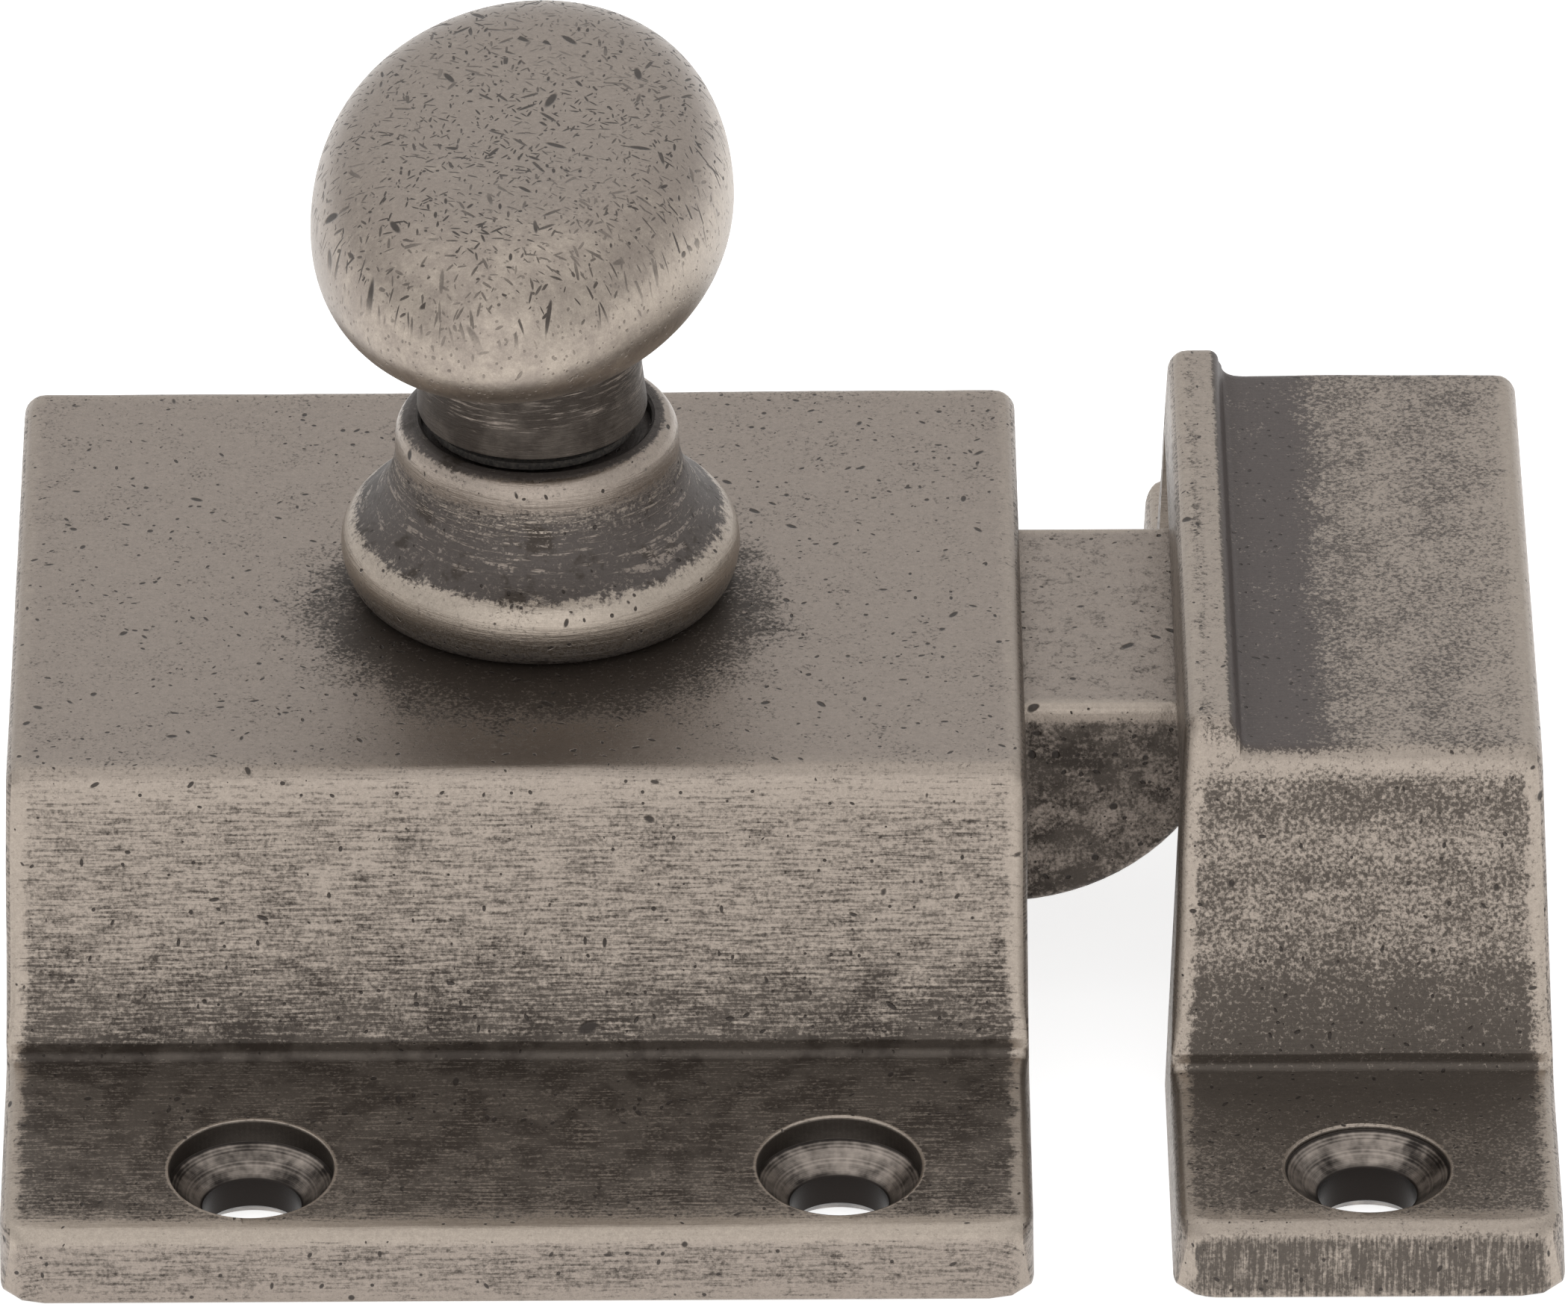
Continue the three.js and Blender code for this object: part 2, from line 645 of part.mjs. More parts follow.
function makeCamScrew() {
  const headBottom = camScrewHeadTop - CAM_SCREW_HEAD_HEIGHT;
  const dome = CAM_SCREW_DOME.map(([inset, height]) => [
    CAM_SCREW_HEAD_RADIUS - inset,
    headBottom + height,
  ]);
  const head = turned([
    [0, headBottom],
    ...dome,
    [CAM_SCREW_HEAD_RADIUS, camScrewHeadTop],
    [0, camScrewHeadTop],
  ]);
  const shank = thinRodZ(CAM_SCREW_RADIUS, camScrewHeadTop - OVER / 2, bridgeBottom, AXIS_X);
  const slot = box(
    AXIS_X - SLOT_WIDTH / 2,
    AXIS_X + SLOT_WIDTH / 2,
    -CAM_SCREW_HEAD_RADIUS - OVER,
    CAM_SCREW_HEAD_RADIUS + OVER,
    headBottom - OVER,
    headBottom + SLOT_WIDTH,
  );
  return joined(head, shank).subtract(slot);
}

// Bolt group -------------------------------------------------------------------------------------

function makeBolt() {
  const half = BOLT_WIDTH / 2;
  const noseRadius = BOLT_TOP - BOLT_BOTTOM;
  const noseStart = BOLT_TIP - noseRadius;
  const side = new THREE.Shape();
  side.moveTo(boltRear, BOLT_BOTTOM);
  side.lineTo(noseStart, BOLT_BOTTOM);
  side.absarc(noseStart, BOLT_TOP, noseRadius, -halfPi, NOSE_END_ANGLE);
  side.lineTo(BOLT_TIP - NOSE_FLAT, BOLT_TOP);
  side.lineTo(boltRear, BOLT_TOP);
  const noseGeometry = new THREE.ExtrudeGeometry(side, {
    depth: BOLT_WIDTH,
    bevelEnabled: false,
    curveSegments: 2 * CURVE_STEPS,
  });
  noseGeometry.rotateX(halfPi);
  noseGeometry.translate(0, half, 0);
  const nose = solidOf(noseGeometry);
  const shoulderFront = cavityHalfX - GAP;
  const shoulder = box(
    shoulderFront - SHOULDER_LENGTH,
    shoulderFront,
    -SHOULDER_WIDTH / 2,
    SHOULDER_WIDTH / 2,
    BOLT_BOTTOM,
    BOLT_TOP,
  );
  const bridge = box(tailBack, boltRear + OVER, -half, half, bridgeBottom, BOLT_TOP);
  const tail = box(tailBack, tailFace, -half, half, PLATE_THICKNESS + GAP, BOLT_TOP);
  const stub = rodX(STUB_RADIUS, tailBack - STUB_LENGTH, tailBack + OVER / 2, 0, springAxisZ);
  const slotHalf = SPINDLE_RADIUS + GAP;
  const slotEnd = AXIS_X + throwLength;
  const slotLevels = [bridgeBottom - OVER, BOLT_TOP + OVER];
  const slot = joined(
    thinRodZ(slotHalf, ...slotLevels, AXIS_X),
    thinRodZ(slotHalf, ...slotLevels, slotEnd),
    box(AXIS_X, slotEnd, -slotHalf, slotHalf, ...slotLevels),
  );
  return joined(nose, shoulder, bridge, tail, stub).subtract(slot);
}

class CoilPath extends THREE.Curve {
  constructor(x0, x1) {
    super();
    this.x0 = x0;
    this.x1 = x1;
  }

  getPoint(t, target = new THREE.Vector3()) {
    const angle = t * SPRING_TURNS * 2 * Math.PI;
    return target.set(
      this.x0 + (this.x1 - this.x0) * t,
      SPRING_RADIUS * Math.cos(angle),
      springAxisZ + SPRING_RADIUS * Math.sin(angle),
    );
  }
}

function makeSpring() {
  const x0 = guideFlangeRight + GAP + SPRING_WIRE;
  const x1 = tailBack - GAP - SPRING_WIRE;
  const wire = new THREE.Shape();
  wire.absarc(0, 0, SPRING_WIRE, 0, 2 * Math.PI);
  const geometry = new THREE.ExtrudeGeometry(wire, {
    steps: SPRING_TURNS * SPRING_STEPS_PER_TURN,
    curveSegments: WIRE_SIDES / 2,
    extrudePath: new CoilPath(x0, x1),
    bevelEnabled: false,
  });
  return solidOf(geometry);
}

function makeSpringGuide() {
  const rodEnd = guideFlangeRight + GUIDE_ROD_LENGTH;
  return joined(
    rodX(GUIDE_FLANGE_RADIUS, guideFlangeLeft, guideFlangeRight, 0, springAxisZ),
    rodX(GUIDE_ROD_RADIUS, guideFlangeRight - GAP, rodEnd, 0, springAxisZ),
  );
}

// Assembly ---------------------------------------------------------------------------------------

const latch = new THREE.Group();
latch.name = "cabinet_turn_latch";

function place(name, solid, finish) {
  const mesh = new THREE.Mesh(geometryOf(solid), new THREE.MeshStandardMaterial(finish));
  mesh.name = name;
  latch.add(mesh);
}

place("case", makeCase(), PEWTER);
place("back_plate", makeBackPlate(), ZINC);
place("back_plate_screw_front_left", makePlateScrew(-BOSS_X, -BOSS_Y), STEEL);
place("back_plate_screw_front_right", makePlateScrew(BOSS_X, -BOSS_Y), STEEL);
place("back_plate_screw_rear_left", makePlateScrew(-BOSS_X, BOSS_Y), STEEL);
place("back_plate_screw_rear_right", makePlateScrew(BOSS_X, BOSS_Y), STEEL);
place("rose", makeRose(), DARK_PEWTER);
place("knob", makeKnob(), PEWTER);
place("knob_washer", makeKnobWasher(), FIBRE);
place("spindle", makeSpindle(), STEEL);
place(
  "thrust_washer",
  makeWasher(THRUST_WASHER_RADIUS, SPINDLE_RADIUS + GAP, thrustWasherTop),
  ZINC,
);
place("cam", makeCam(), ZINC);
place("cam_washer", makeWasher(CAM_WASHER_RADIUS, CAM_SCREW_RADIUS + GAP, camWasherTop), STEEL);
place("cam_screw", makeCamScrew(), STEEL);
place("bolt", makeBolt(), PEWTER);
place("bolt_spring", makeSpring(), SPRING_STEEL);
place("spring_guide", makeSpringGuide(), ZINC);
place("strike", makeStrike(), PEWTER);

export default latch;
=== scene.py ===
"""Looks of a surface-mounted cabinet turn latch and its strike, in antique pewter.

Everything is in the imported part's own frame: +Z out of the mounting plane, +X along the bolt's
throw. Shapes are worked out in millimetres, and scaled to metres once, when a piece is finished.
"""

import math

import bmesh
import bpy
from mathutils import Matrix, Vector, noise


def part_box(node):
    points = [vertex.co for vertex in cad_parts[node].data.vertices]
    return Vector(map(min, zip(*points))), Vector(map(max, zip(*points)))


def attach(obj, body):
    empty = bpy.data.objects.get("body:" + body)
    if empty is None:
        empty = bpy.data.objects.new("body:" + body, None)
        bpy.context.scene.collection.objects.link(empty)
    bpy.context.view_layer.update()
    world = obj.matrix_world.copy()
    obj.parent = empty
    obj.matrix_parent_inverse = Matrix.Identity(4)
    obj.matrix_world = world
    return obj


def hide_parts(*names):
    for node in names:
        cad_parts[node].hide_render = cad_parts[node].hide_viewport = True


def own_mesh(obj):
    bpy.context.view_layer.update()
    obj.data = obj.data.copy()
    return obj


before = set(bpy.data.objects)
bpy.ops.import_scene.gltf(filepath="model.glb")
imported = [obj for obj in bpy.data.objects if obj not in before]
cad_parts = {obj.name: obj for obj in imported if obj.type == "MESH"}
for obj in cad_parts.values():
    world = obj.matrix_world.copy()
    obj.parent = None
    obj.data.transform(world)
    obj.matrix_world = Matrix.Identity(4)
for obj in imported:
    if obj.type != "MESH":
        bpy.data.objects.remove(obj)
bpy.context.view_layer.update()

MM = 0.001
TINY = 1e-6
GAP = 0.3  # clearance between neighbouring pieces
PAST = 1.0  # how far a cutting tool reaches past what it cuts
SMOOTH_ANGLE = math.radians(32)


def millimetres(node):
    """The lowest and highest corners of a CAD node, in millimetres."""
    low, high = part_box(node)
    return low / MM, high / MM


CASE_HIGH = millimetres("case")[1]
STRIKE_LOW, STRIKE_HIGH = millimetres("strike")
KNOB_LOW, KNOB_HIGH = millimetres("knob")
ROSE_LOW, ROSE_HIGH = millimetres("rose")
BOLT_LOW, BOLT_HIGH = millimetres("bolt")
SPRING_LOW, SPRING_HIGH = millimetres("bolt_spring")
GUIDE_LOW = millimetres("spring_guide")[0]
PLATE_LOW, PLATE_HIGH = millimetres("back_plate")

AXIS_X = (ROSE_LOW.x + ROSE_HIGH.x) / 2  # the knob turns about this upright line
CASE_TOP = CASE_HIGH.z
END_Y = CASE_HIGH.y  # the castings' far ends along Y

# Castings. All sizes are in millimetres, up to the stage
TOP_HALF = 13.1  # half length of the flat tops along Y
TOP_INNER = 11.7  # where the ridges at the tops' ends begin
COVE_FOOT_Y = 15.4
COVE_SAG = 0.3
COVE_POINTS = 8
RIDGE_RADIUS = 0.75
FOOT_RADIUS = 0.16
GROOVE_Y = 15.32
GROOVE_RADIUS = 0.5
WING_Y = 16.5  # the groove at the cove's foot ends here
LIP_RADIUS = 0.75
BASE_EDGE = 0.25
CORNER_RADIUS = 1.5  # upright corners of the wings
EDGE_RADIUS = 0.5  # the rest of the end edges
CORNER_EDGE = 0.72  # the end edges beside the ridges
FOOT_EDGE = 0.14  # the end edges beside the cove's sharp foot and along the base
EDGE_STEPS = 6
CASE_FOOT_Z = 4.0
CASE_WING_Z = 3.33
CASE_LIP_Z = 2.6
CASE_DRAFT = 0.00056  # how much the sides close in for each millimetre of height
CASE_WALL = 1.2
ROOF_Z = 11.8  # underside of the case's top
STRIKE_TOP = 13.65
STRIKE_FOOT_Z = 3.35
STRIKE_WING_Z = 2.7
STRIKE_DRAFT = 0.0059
STRIKE_WALL = 1.4
STRIKE_HOLLOW_HALF = 12.0
STRIKE_CEILING = 11.75
RIB_WIDTH = 1.9
RIB_LEAN = 0.12
RIB_ROUND = 0.42
RIB_FILLET = 0.28
RIB_END_RUN = 0.95  # the wider fillet where the rib's foot meets the end ridges
RIB_END_RISE = 0.58
WAVE = 0.035  # hand-finished waviness of the castings
WAVE_SEED = 7  # any seed but 0, which would take the clock's time

# Wood-screw holes
HOLE_RADIUS = 1.65
HEAD_RADIUS = 2.72
RIM_FLARE = 0.1
HOLE_CHAMFER = 0.45
CONE_DEPTH = 0.8  # depth of the countersink for each millimetre of its width
HOLE_INSET = 3.9
HOLE_SHIFT = 0.94
HOLE_SPACING = 19.5
CASE_COUNTERBORE = 0.6
STRIKE_COUNTERBORE = 0.15
HOLE_Y = END_Y - HOLE_INSET
STRIKE_CENTRE = (STRIKE_LOW.x + STRIKE_HIGH.x) / 2
RIB_X = STRIKE_LOW.x + RIB_WIDTH
RIB_FOOT = RIB_X + RIB_LEAN

# Back plate's screw bosses
BOSS_X = 13.7
BOSS_Y = 9.7
BOSS_RADIUS = 2.3
BOSSES = [(x, y) for x in (-BOSS_X, BOSS_X) for y in (-BOSS_Y, BOSS_Y)]
TAP_RADIUS = 1.1
TAP_TOP = 7.0
SEAT_RADIUS = 1.8  # countersinks of the back plate's screws
SEAT_DEPTH = 1.1
PLATE_EDGE = 0.15
PLATE_CORNER = 0.6
SHANK_RADIUS = 0.8
THREAD_DEPTH = 0.12

# Turned and moving pieces
SPIGOT_RADIUS = 3.25
ROSE_BORE = 2.4
SPINDLE_CLEARANCE = 2.4  # half width of the bolt's slot
BOLT_THROW = 5.236
NOSE_LOW = 3.75  # underside of the bolt's nose
NOSE_HALF = 6.15
NOSE_REAR = 9.086  # where the nose's rear face meets the bridge
BOLT_SHEET = 1.8  # thickness of the bridge and of the tail
BOLT_EDGE = 0.32
STUB_LENGTH = 1.8  # stub on the tail that holds the spring
STUB_RADIUS = 1.3
SPRING_ROOM = 3.3  # radius of the recess round the spring
WINDOW_HALF = 6.45  # half width of the case's window for the nose
SPRING_Z = (SPRING_LOW.z + SPRING_HIGH.z) / 2
SPRING_TURNS = 8
WIRE_RADIUS = 0.18


# Outlines ---------------------------------------------------------------------------------------


def filleted(corners, steps=6):
    """A closed outline through (a, b, radius) corners, with each corner rounded by an arc."""
    outline = []
    count = len(corners)
    for i, (a, b, radius) in enumerate(corners):
        corner = Vector((a, b))
        if radius <= 0:
            outline.append(corner)
            continue
        before = Vector(corners[i - 1][:2]) - corner
        after = Vector(corners[(i + 1) % count][:2]) - corner
        half = before.angle(after) / 2
        reach = min(radius / math.tan(half), 0.49 * before.length, 0.49 * after.length)
        inside = (before.normalized() + after.normalized()).normalized()
        centre = corner + inside * (reach / math.cos(half))
        start = corner + before.normalized() * reach - centre
        end = corner + after.normalized() * reach - centre
        sweep = start.angle_signed(end)
        for k in range(steps + 1):
            turn = Matrix.Rotation(-sweep * k / steps, 2)
            outline.append(centre + turn @ start)
    return outline


def bowed(start, end, sag, count):
    """Points between two corners on a shallow curve that sags to the right of the way along it."""
    start = Vector(start)
    way = Vector(end) - start
    side = Vector((way.y, -way.x)).normalized()
    points = []
    for k in range(1, count):
        share = k / count
        point = start + way * share + side * (4 * sag * share * (1 - share))
        points.append((point.x, point.y, 0))
    return points


def smoothed(points, per_span=6):
    """A Catmull-Rom curve through (a, b) points."""
    knots = [Vector(p) for p in points]
    knots = [2 * knots[0] - knots[1], *knots, 2 * knots[-1] - knots[-2]]
    curve = []
    for p0, p1, p2, p3 in zip(knots, knots[1:], knots[2:], knots[3:]):
        for k in range(per_span):
            t = k / per_span
            curve.append(
                0.5
                * (
                    2 * p1
                    + (p2 - p0) * t
                    + (2 * p0 - 5 * p1 + 4 * p2 - p3) * t * t
                    + (3 * p1 - p0 - 3 * p2 + p3) * t**3
                )
            )
    curve.append(knots[-2])
    return curve


def inset(outline, distances):
    """The outline with each point moved into it by its own distance."""
    count = len(outline)
    area = sum(a.cross(b) for a, b in zip(outline, outline[1:] + outline[:1]))
    inward = 1 if area > 0 else -1
    moved = []
    for i, point in enumerate(outline):
        along = (outline[(i + 1) % count] - outline[i - 1]).normalized()
        normal = Vector((-along.y, along.x)) * inward
        moved.append(point + normal * distances[i])
    return moved


# Meshes -----------------------------------------------------------------------------------------


def bridge(mesh, lower, upper):
    """Faces between two rings of vertices, either of which may be a single point."""
    count = max(len(lower), len(upper))
    for k in range(count):
        n = (k + 1) % count
        if len(lower) == 1:
            mesh.faces.new((lower[0], upper[n], upper[k]))
        elif len(upper) == 1:
            mesh.faces.new((lower[k], lower[n], upper[0]))
        else:
            mesh.faces.new((lower[k], lower[n], upper[n], upper[k]))


def loft(mesh, rings):
    """A closed solid through rings of points, with its two ends capped."""
    made = [[mesh.verts.new(p) for p in ring] for ring in rings]
    for lower, upper in zip(made, made[1:]):
        bridge(mesh, lower, upper)
    for end in (made[0], made[-1]):
        if len(end) > 1:
            mesh.faces.new(end)


def revolve(mesh, profile, centre=(0, 0), steps=96, slope=None):
    """The solid that (radius, z) pairs sweep about an upright line. slope tilts the points above
    its height: (height, rise for each millimetre along Y)."""
    rings = []
    for radius, z in profile:
        ring = []
        for k in range(1 if radius < TINY else steps):
            angle = 2 * math.pi * k / steps
            x = radius * math.cos(angle)
            y = radius * math.sin(angle)
            lift = slope[1] * y if slope and z >= slope[0] else 0
            ring.append((centre[0] + x, centre[1] + y, z + lift))
        rings.append(ring)
    if len(rings[0]) > 1:
        rings.append(rings[0])
    made = [[mesh.verts.new(p) for p in ring] for ring in rings]
    for lower, upper in zip(made, made[1:]):
        bridge(mesh, lower, upper)
    bmesh.ops.remove_doubles(mesh, verts=mesh.verts, dist=TINY)


def block(mesh, x, y, z, radius=0.0):
    """A box between pairs of coordinates, its upright edges rounded."""
    corners = [(x[0], y[0]), (x[1], y[0]), (x[1], y[1]), (x[0], y[1])]
    plan = filleted([(a, b, radius) for a, b in corners], 5)
    loft(mesh, [[(p.x, p.y, level) for p in plan] for level in z])


def drum(mesh, radius, levels, centre, steps):
    """An upright round bar between two heights."""
    low, high = levels
    revolve(mesh, [(0, low), (radius, low), (radius, high), (0, high)], centre, steps)


def rod(mesh, radius, x, y, z, steps=40):
    """A round bar along X between two x coordinates."""
    rings = []
    for level in x:
        angles = [2 * math.pi * k / steps for k in range(steps)]
        rings.append([(level, y + radius * math.cos(a), z + radius * math.sin(a)) for a in angles])
    loft(mesh, rings)


def piece(name, build):
    """An object in millimetres whose mesh is filled by build(mesh)."""
    data = bpy.data.meshes.new(name)
    mesh = bmesh.new()
    build(mesh)
    bmesh.ops.recalc_face_normals(mesh, faces=mesh.faces)
    mesh.to_mesh(data)
    mesh.free()
    made = bpy.data.objects.new(name, data)
    bpy.context.scene.collection.objects.link(made)
    return made


def combined(target, operation, build):
    """Joins to target, or cuts from it, the solid that build(mesh) makes."""
    tool = piece("tool", build)
    modifier = target.modifiers.new("solid", "BOOLEAN")
    modifier.operation = operation
    modifier.solver = "MANIFOLD"
    modifier.object = tool
    depsgraph = bpy.context.evaluated_depsgraph_get()
    result = bpy.data.meshes.new_from_object(target.evaluated_get(depsgraph))
    target.modifiers.clear()
    target.data = result
    bpy.data.objects.remove(tool)


def finished(made, body, nodes, material, weighted=True):
    """Scales a piece to metres, shades it, and hands it to the frame."""
    made.data.transform(Matrix.Scale(MM, 4))
    for polygon in made.data.polygons:
        polygon.use_smooth = True
    made.data.set_sharp_from_angle(angle=SMOOTH_ANGLE)
    if weighted:
        normals = made.modifiers.new("weighted", "WEIGHTED_NORMAL")
        normals.keep_sharp = True
    made.data.materials.clear()
    made.data.materials.append(material)
    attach(made, body)
    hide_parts(*nodes)
    return made


# Node trees -------------------------------------------------------------------------------------


class Field:
    """A value that varies over a surface: a node's output that can be reckoned with."""

    def __init__(self, tree, socket):
        self.tree = tree
        self.socket = socket

    def __add__(self, other):
        return self.tree.math("ADD", self, other)

    def __sub__(self, other):
        return self.tree.math("SUBTRACT", self, other)

    def __rsub__(self, other):
        return self.tree.math("SUBTRACT", other, self)

    def __mul__(self, other):
        return self.tree.math("MULTIPLY", self, other)

    def __abs__(self):
        return self.tree.math("ABSOLUTE", self)


class Tree:
    """A material's node tree, one call for each node. Coordinates are in millimetres."""

    def __init__(self, name):
        self.material = bpy.data.materials.new(name)
        self.material.use_nodes = True
        self.nodes = self.material.node_tree.nodes
        self.links = self.material.node_tree.links
        self.shader = self.nodes["Principled BSDF"]
        place = self.nodes.new("ShaderNodeTexCoord").outputs["Object"]
        self.point = self.vector("SCALE", Field(self, place), scale=1 / MM)
        self.x, self.y, self.z = self.parts("ShaderNodeSeparateXYZ", self.point)

    def put(self, socket, value):
        """Links a field to a socket, or sets the socket to a plain value."""
        if isinstance(value, Field):
            self.links.new(value.socket, socket)
        elif value is not None:
            socket.default_value = value

    def parts(self, kind, value):
        """The three parts of a vector or a colour."""
        node = self.nodes.new(kind)
        self.put(node.inputs[0], value)
        return [Field(self, part) for part in node.outputs[:3]]

    def math(self, operation, a, b=None, clamp=False):
        """A Math node."""
        node = self.nodes.new("ShaderNodeMath")
        node.operation = operation
        node.use_clamp = clamp
        for socket, value in zip(node.inputs, (a, b)):
            self.put(socket, value)
        return Field(self, node.outputs[0])

    def greater(self, first, *others):
        """The greatest of some values."""
        for other in others:
            first = self.math("MAXIMUM", first, other)
        return first

    def vector(self, operation, a, b=None, scale=None):
        """A Vector Math node."""
        node = self.nodes.new("ShaderNodeVectorMath")
        node.operation = operation
        self.put(node.inputs[0], a)
        self.put(node.inputs[1], b)
        if scale is not None:
            self.put(node.inputs["Scale"], scale)
        return Field(self, node.outputs["Value" if operation == "LENGTH" else "Vector"])

    def xyz(self, x, y, z=0.0):
        """A vector from its three parts."""
        node = self.nodes.new("ShaderNodeCombineXYZ")
        for socket, value in zip(node.inputs, (x, y, z)):
            self.put(socket, value)
        return Field(self, node.outputs[0])

    def length(self, a, b):
        """Distance from nought in a plane."""
        return self.vector("LENGTH", self.xyz(a, b))

    def step(self, value, low, high):
        """0 below low, 1 above high, and smooth between; low may be the greater."""
        node = self.nodes.new("ShaderNodeMapRange")
        node.interpolation_type = "SMOOTHSTEP"
        flipped = low > high
        self.put(node.inputs["Value"], value)
        node.inputs["From Min"].default_value = min(low, high)
        node.inputs["From Max"].default_value = max(low, high)
        node.inputs["To Min"].default_value = 1.0 if flipped else 0.0
        node.inputs["To Max"].default_value = 0.0 if flipped else 1.0
        return Field(self, node.outputs[0])

    def profile(self, value, stops):
        """A value looked up along (place, level) stops."""
        first = stops[0][0]
        span = stops[-1][0] - first
        share = (value - first) * (1 / span)
        node = self.nodes.new("ShaderNodeValToRGB")
        node.color_ramp.interpolation = "LINEAR"
        elements = node.color_ramp.elements
        while len(elements) < len(stops):
            elements.new(0.5)
        for element, (place, level) in zip(elements, stops):
            element.position = (place - first) / span
            element.color = (level, level, level, 1)
        self.put(node.inputs[0], share)
        return Field(self, node.outputs["Color"])

    def blended(self, kind, sockets, factor, a, b):
        """A Mix node. Its sockets of one kind are found by place, as their names repeat."""
        node = self.nodes.new("ShaderNodeMix")
        node.data_type = kind
        first, second, result = sockets
        self.put(node.inputs[0], factor)
        self.put(node.inputs[first], a)
        self.put(node.inputs[second], b)
        return Field(self, node.outputs[result])

    def mix(self, factor, a, b):
        """Colour a where factor is 0, colour b where it is 1."""
        first = a if isinstance(a, Field) else (*a, 1)
        second = b if isinstance(b, Field) else (*b, 1)
        return self.blended("RGBA", (6, 7, 2), factor, first, second)

    def blend(self, factor, a, b):
        """The same for plain values."""
        return self.blended("FLOAT", (2, 3, 0), factor, a, b)

    def switch(self, factor, a, b):
        """The same for vectors."""
        return self.blended("VECTOR", (4, 5, 1), factor, a, b)

    def noise(self, place, per_mm, detail, roughness):
        """Noise around 0.5, with per_mm lumps to the millimetre."""
        node = self.nodes.new("ShaderNodeTexNoise")
        self.put(node.inputs["Vector"], place)
        node.inputs["Scale"].default_value = per_mm
        node.inputs["Detail"].default_value = detail
        node.inputs["Roughness"].default_value = roughness
        return Field(self, node.outputs["Fac"])

    def grain(self, per_mm, detail, roughness):
        """Noise fixed to the metal itself."""
        return self.noise(self.point, per_mm, detail, roughness)

    def sway(self, per_mm, detail, roughness, amount):
        """Noise that swings to either side of nought by half the amount."""
        return (self.grain(per_mm, detail, roughness) - 0.5) * amount

    def streaks(self, place, stretch, per_mm):
        """Noise drawn out along the directions where stretch is small."""
        return self.noise(self.vector("MULTIPLY", place, stretch), per_mm, 4, 0.7)

    def dashes(self, place, spacing, length, width, share, seed, level=0):
        """Short marks at random places and angles: stretched specks, cut by the surface. share is
        how many of the cells hold one, and level 1 lays them all in the plane of x and y."""
        shifted = self.vector("ADD", place, (seed, seed * 0.37, seed * 0.71))
        cells = self.nodes.new("ShaderNodeTexVoronoi")
        self.put(cells.inputs["Vector"], shifted)
        cells.inputs["Scale"].default_value = 1 / spacing
        centre = Field(self, cells.outputs["Position"])
        chance = Field(self, cells.outputs["Color"])
        _, size_chance, kept_chance = self.parts("ShaderNodeSeparateColor", chance)
        turn = self.nodes.new("ShaderNodeVectorRotate")
        turn.rotation_type = "EULER_XYZ"
        self.put(turn.inputs["Vector"], self.vector("SUBTRACT", shifted, centre))
        angles = self.vector("SCALE", chance, scale=2 * math.pi)
        angles = self.vector("MULTIPLY", angles, (1 - level, 1 - level, 1))
        self.put(turn.inputs["Rotation"], angles)
        thin = (1 / length, 1 / width, (1 - level) / width)
        shape = self.vector("MULTIPLY", Field(self, turn.outputs[0]), thin)
        reach = self.math("DIVIDE", self.vector("LENGTH", shape), size_chance * 0.9 + 0.4)
        kept = self.math("LESS_THAN", kept_chance, share)
        return self.step(reach, 1.0, 0.6) * kept

    def finish(self, color, metallic, roughness, height, depth):
        """Connects the shader. height 1 is a relief of depth, in millimetres."""
        self.put(self.shader.inputs["Base Color"], color)
        self.put(self.shader.inputs["Metallic"], metallic)
        self.put(self.shader.inputs["Roughness"], roughness)
        bump = self.nodes.new("ShaderNodeBump")
        bump.inputs["Strength"].default_value = 1.0
        bump.inputs["Distance"].default_value = depth * MM
        self.put(bump.inputs["Height"], height)
        self.links.new(bump.outputs[0], self.shader.inputs["Normal"])
        return self.material


PALE_PEWTER = (0.4, 0.345, 0.292)
FILM_PEWTER = (0.285, 0.243, 0.21)
PATINA = (0.081, 0.066, 0.054)
BROWN_PATINA = (0.042, 0.032, 0.025)
BAND_PATINA = (0.083, 0.068, 0.063)
ROSE_PATINA = (0.08, 0.067, 0.06)
PIT_DARK = (0.03, 0.023, 0.019)
# Painted shade of the screw holes' bores, and the dark and metal patches of the cones' painted
# reflections
SINK_PAINTED_SHADE = (0.018, 0.014, 0.012)
SINK_METAL = (0.36, 0.31, 0.27)


def unrolled(tree):
    """Where a point lies on a winged casting: v runs from its middle down to its ends. Returns
    v, a flat point to lay grain on, and the mask of the side faces, which face along X."""
    v = abs(tree.y) - tree.z * 0.75
    geometry = tree.nodes.new("ShaderNodeNewGeometry")
    facing = Field(tree, geometry.outputs["True Normal"])
    along_x = tree.parts("ShaderNodeSeparateXYZ", facing)[0]
    sideways = tree.math("GREATER_THAN", abs(along_x), 0.75)
    flat = tree.switch(sideways, tree.xyz(tree.x, v), tree.xyz(tree.y, tree.z))
    return v, flat, sideways


def patches_of_brown(tree):
    """The patina's colour, browner in soft patches."""
    brown = tree.step(tree.grain(0.7, 4, 0.6), 0.42, 0.6)
    return tree.mix(brown, PATINA, BROWN_PATINA)


def speckled(tree, patina, field, contrast=7.0, gain=2.1):
    """How dark a point is, from the local share of patina and a noise field around 0.5."""
    lean = (patina - 0.5) * gain + (field - 0.5) * contrast
    return tree.math("ADD", lean, 0.5, clamp=True)


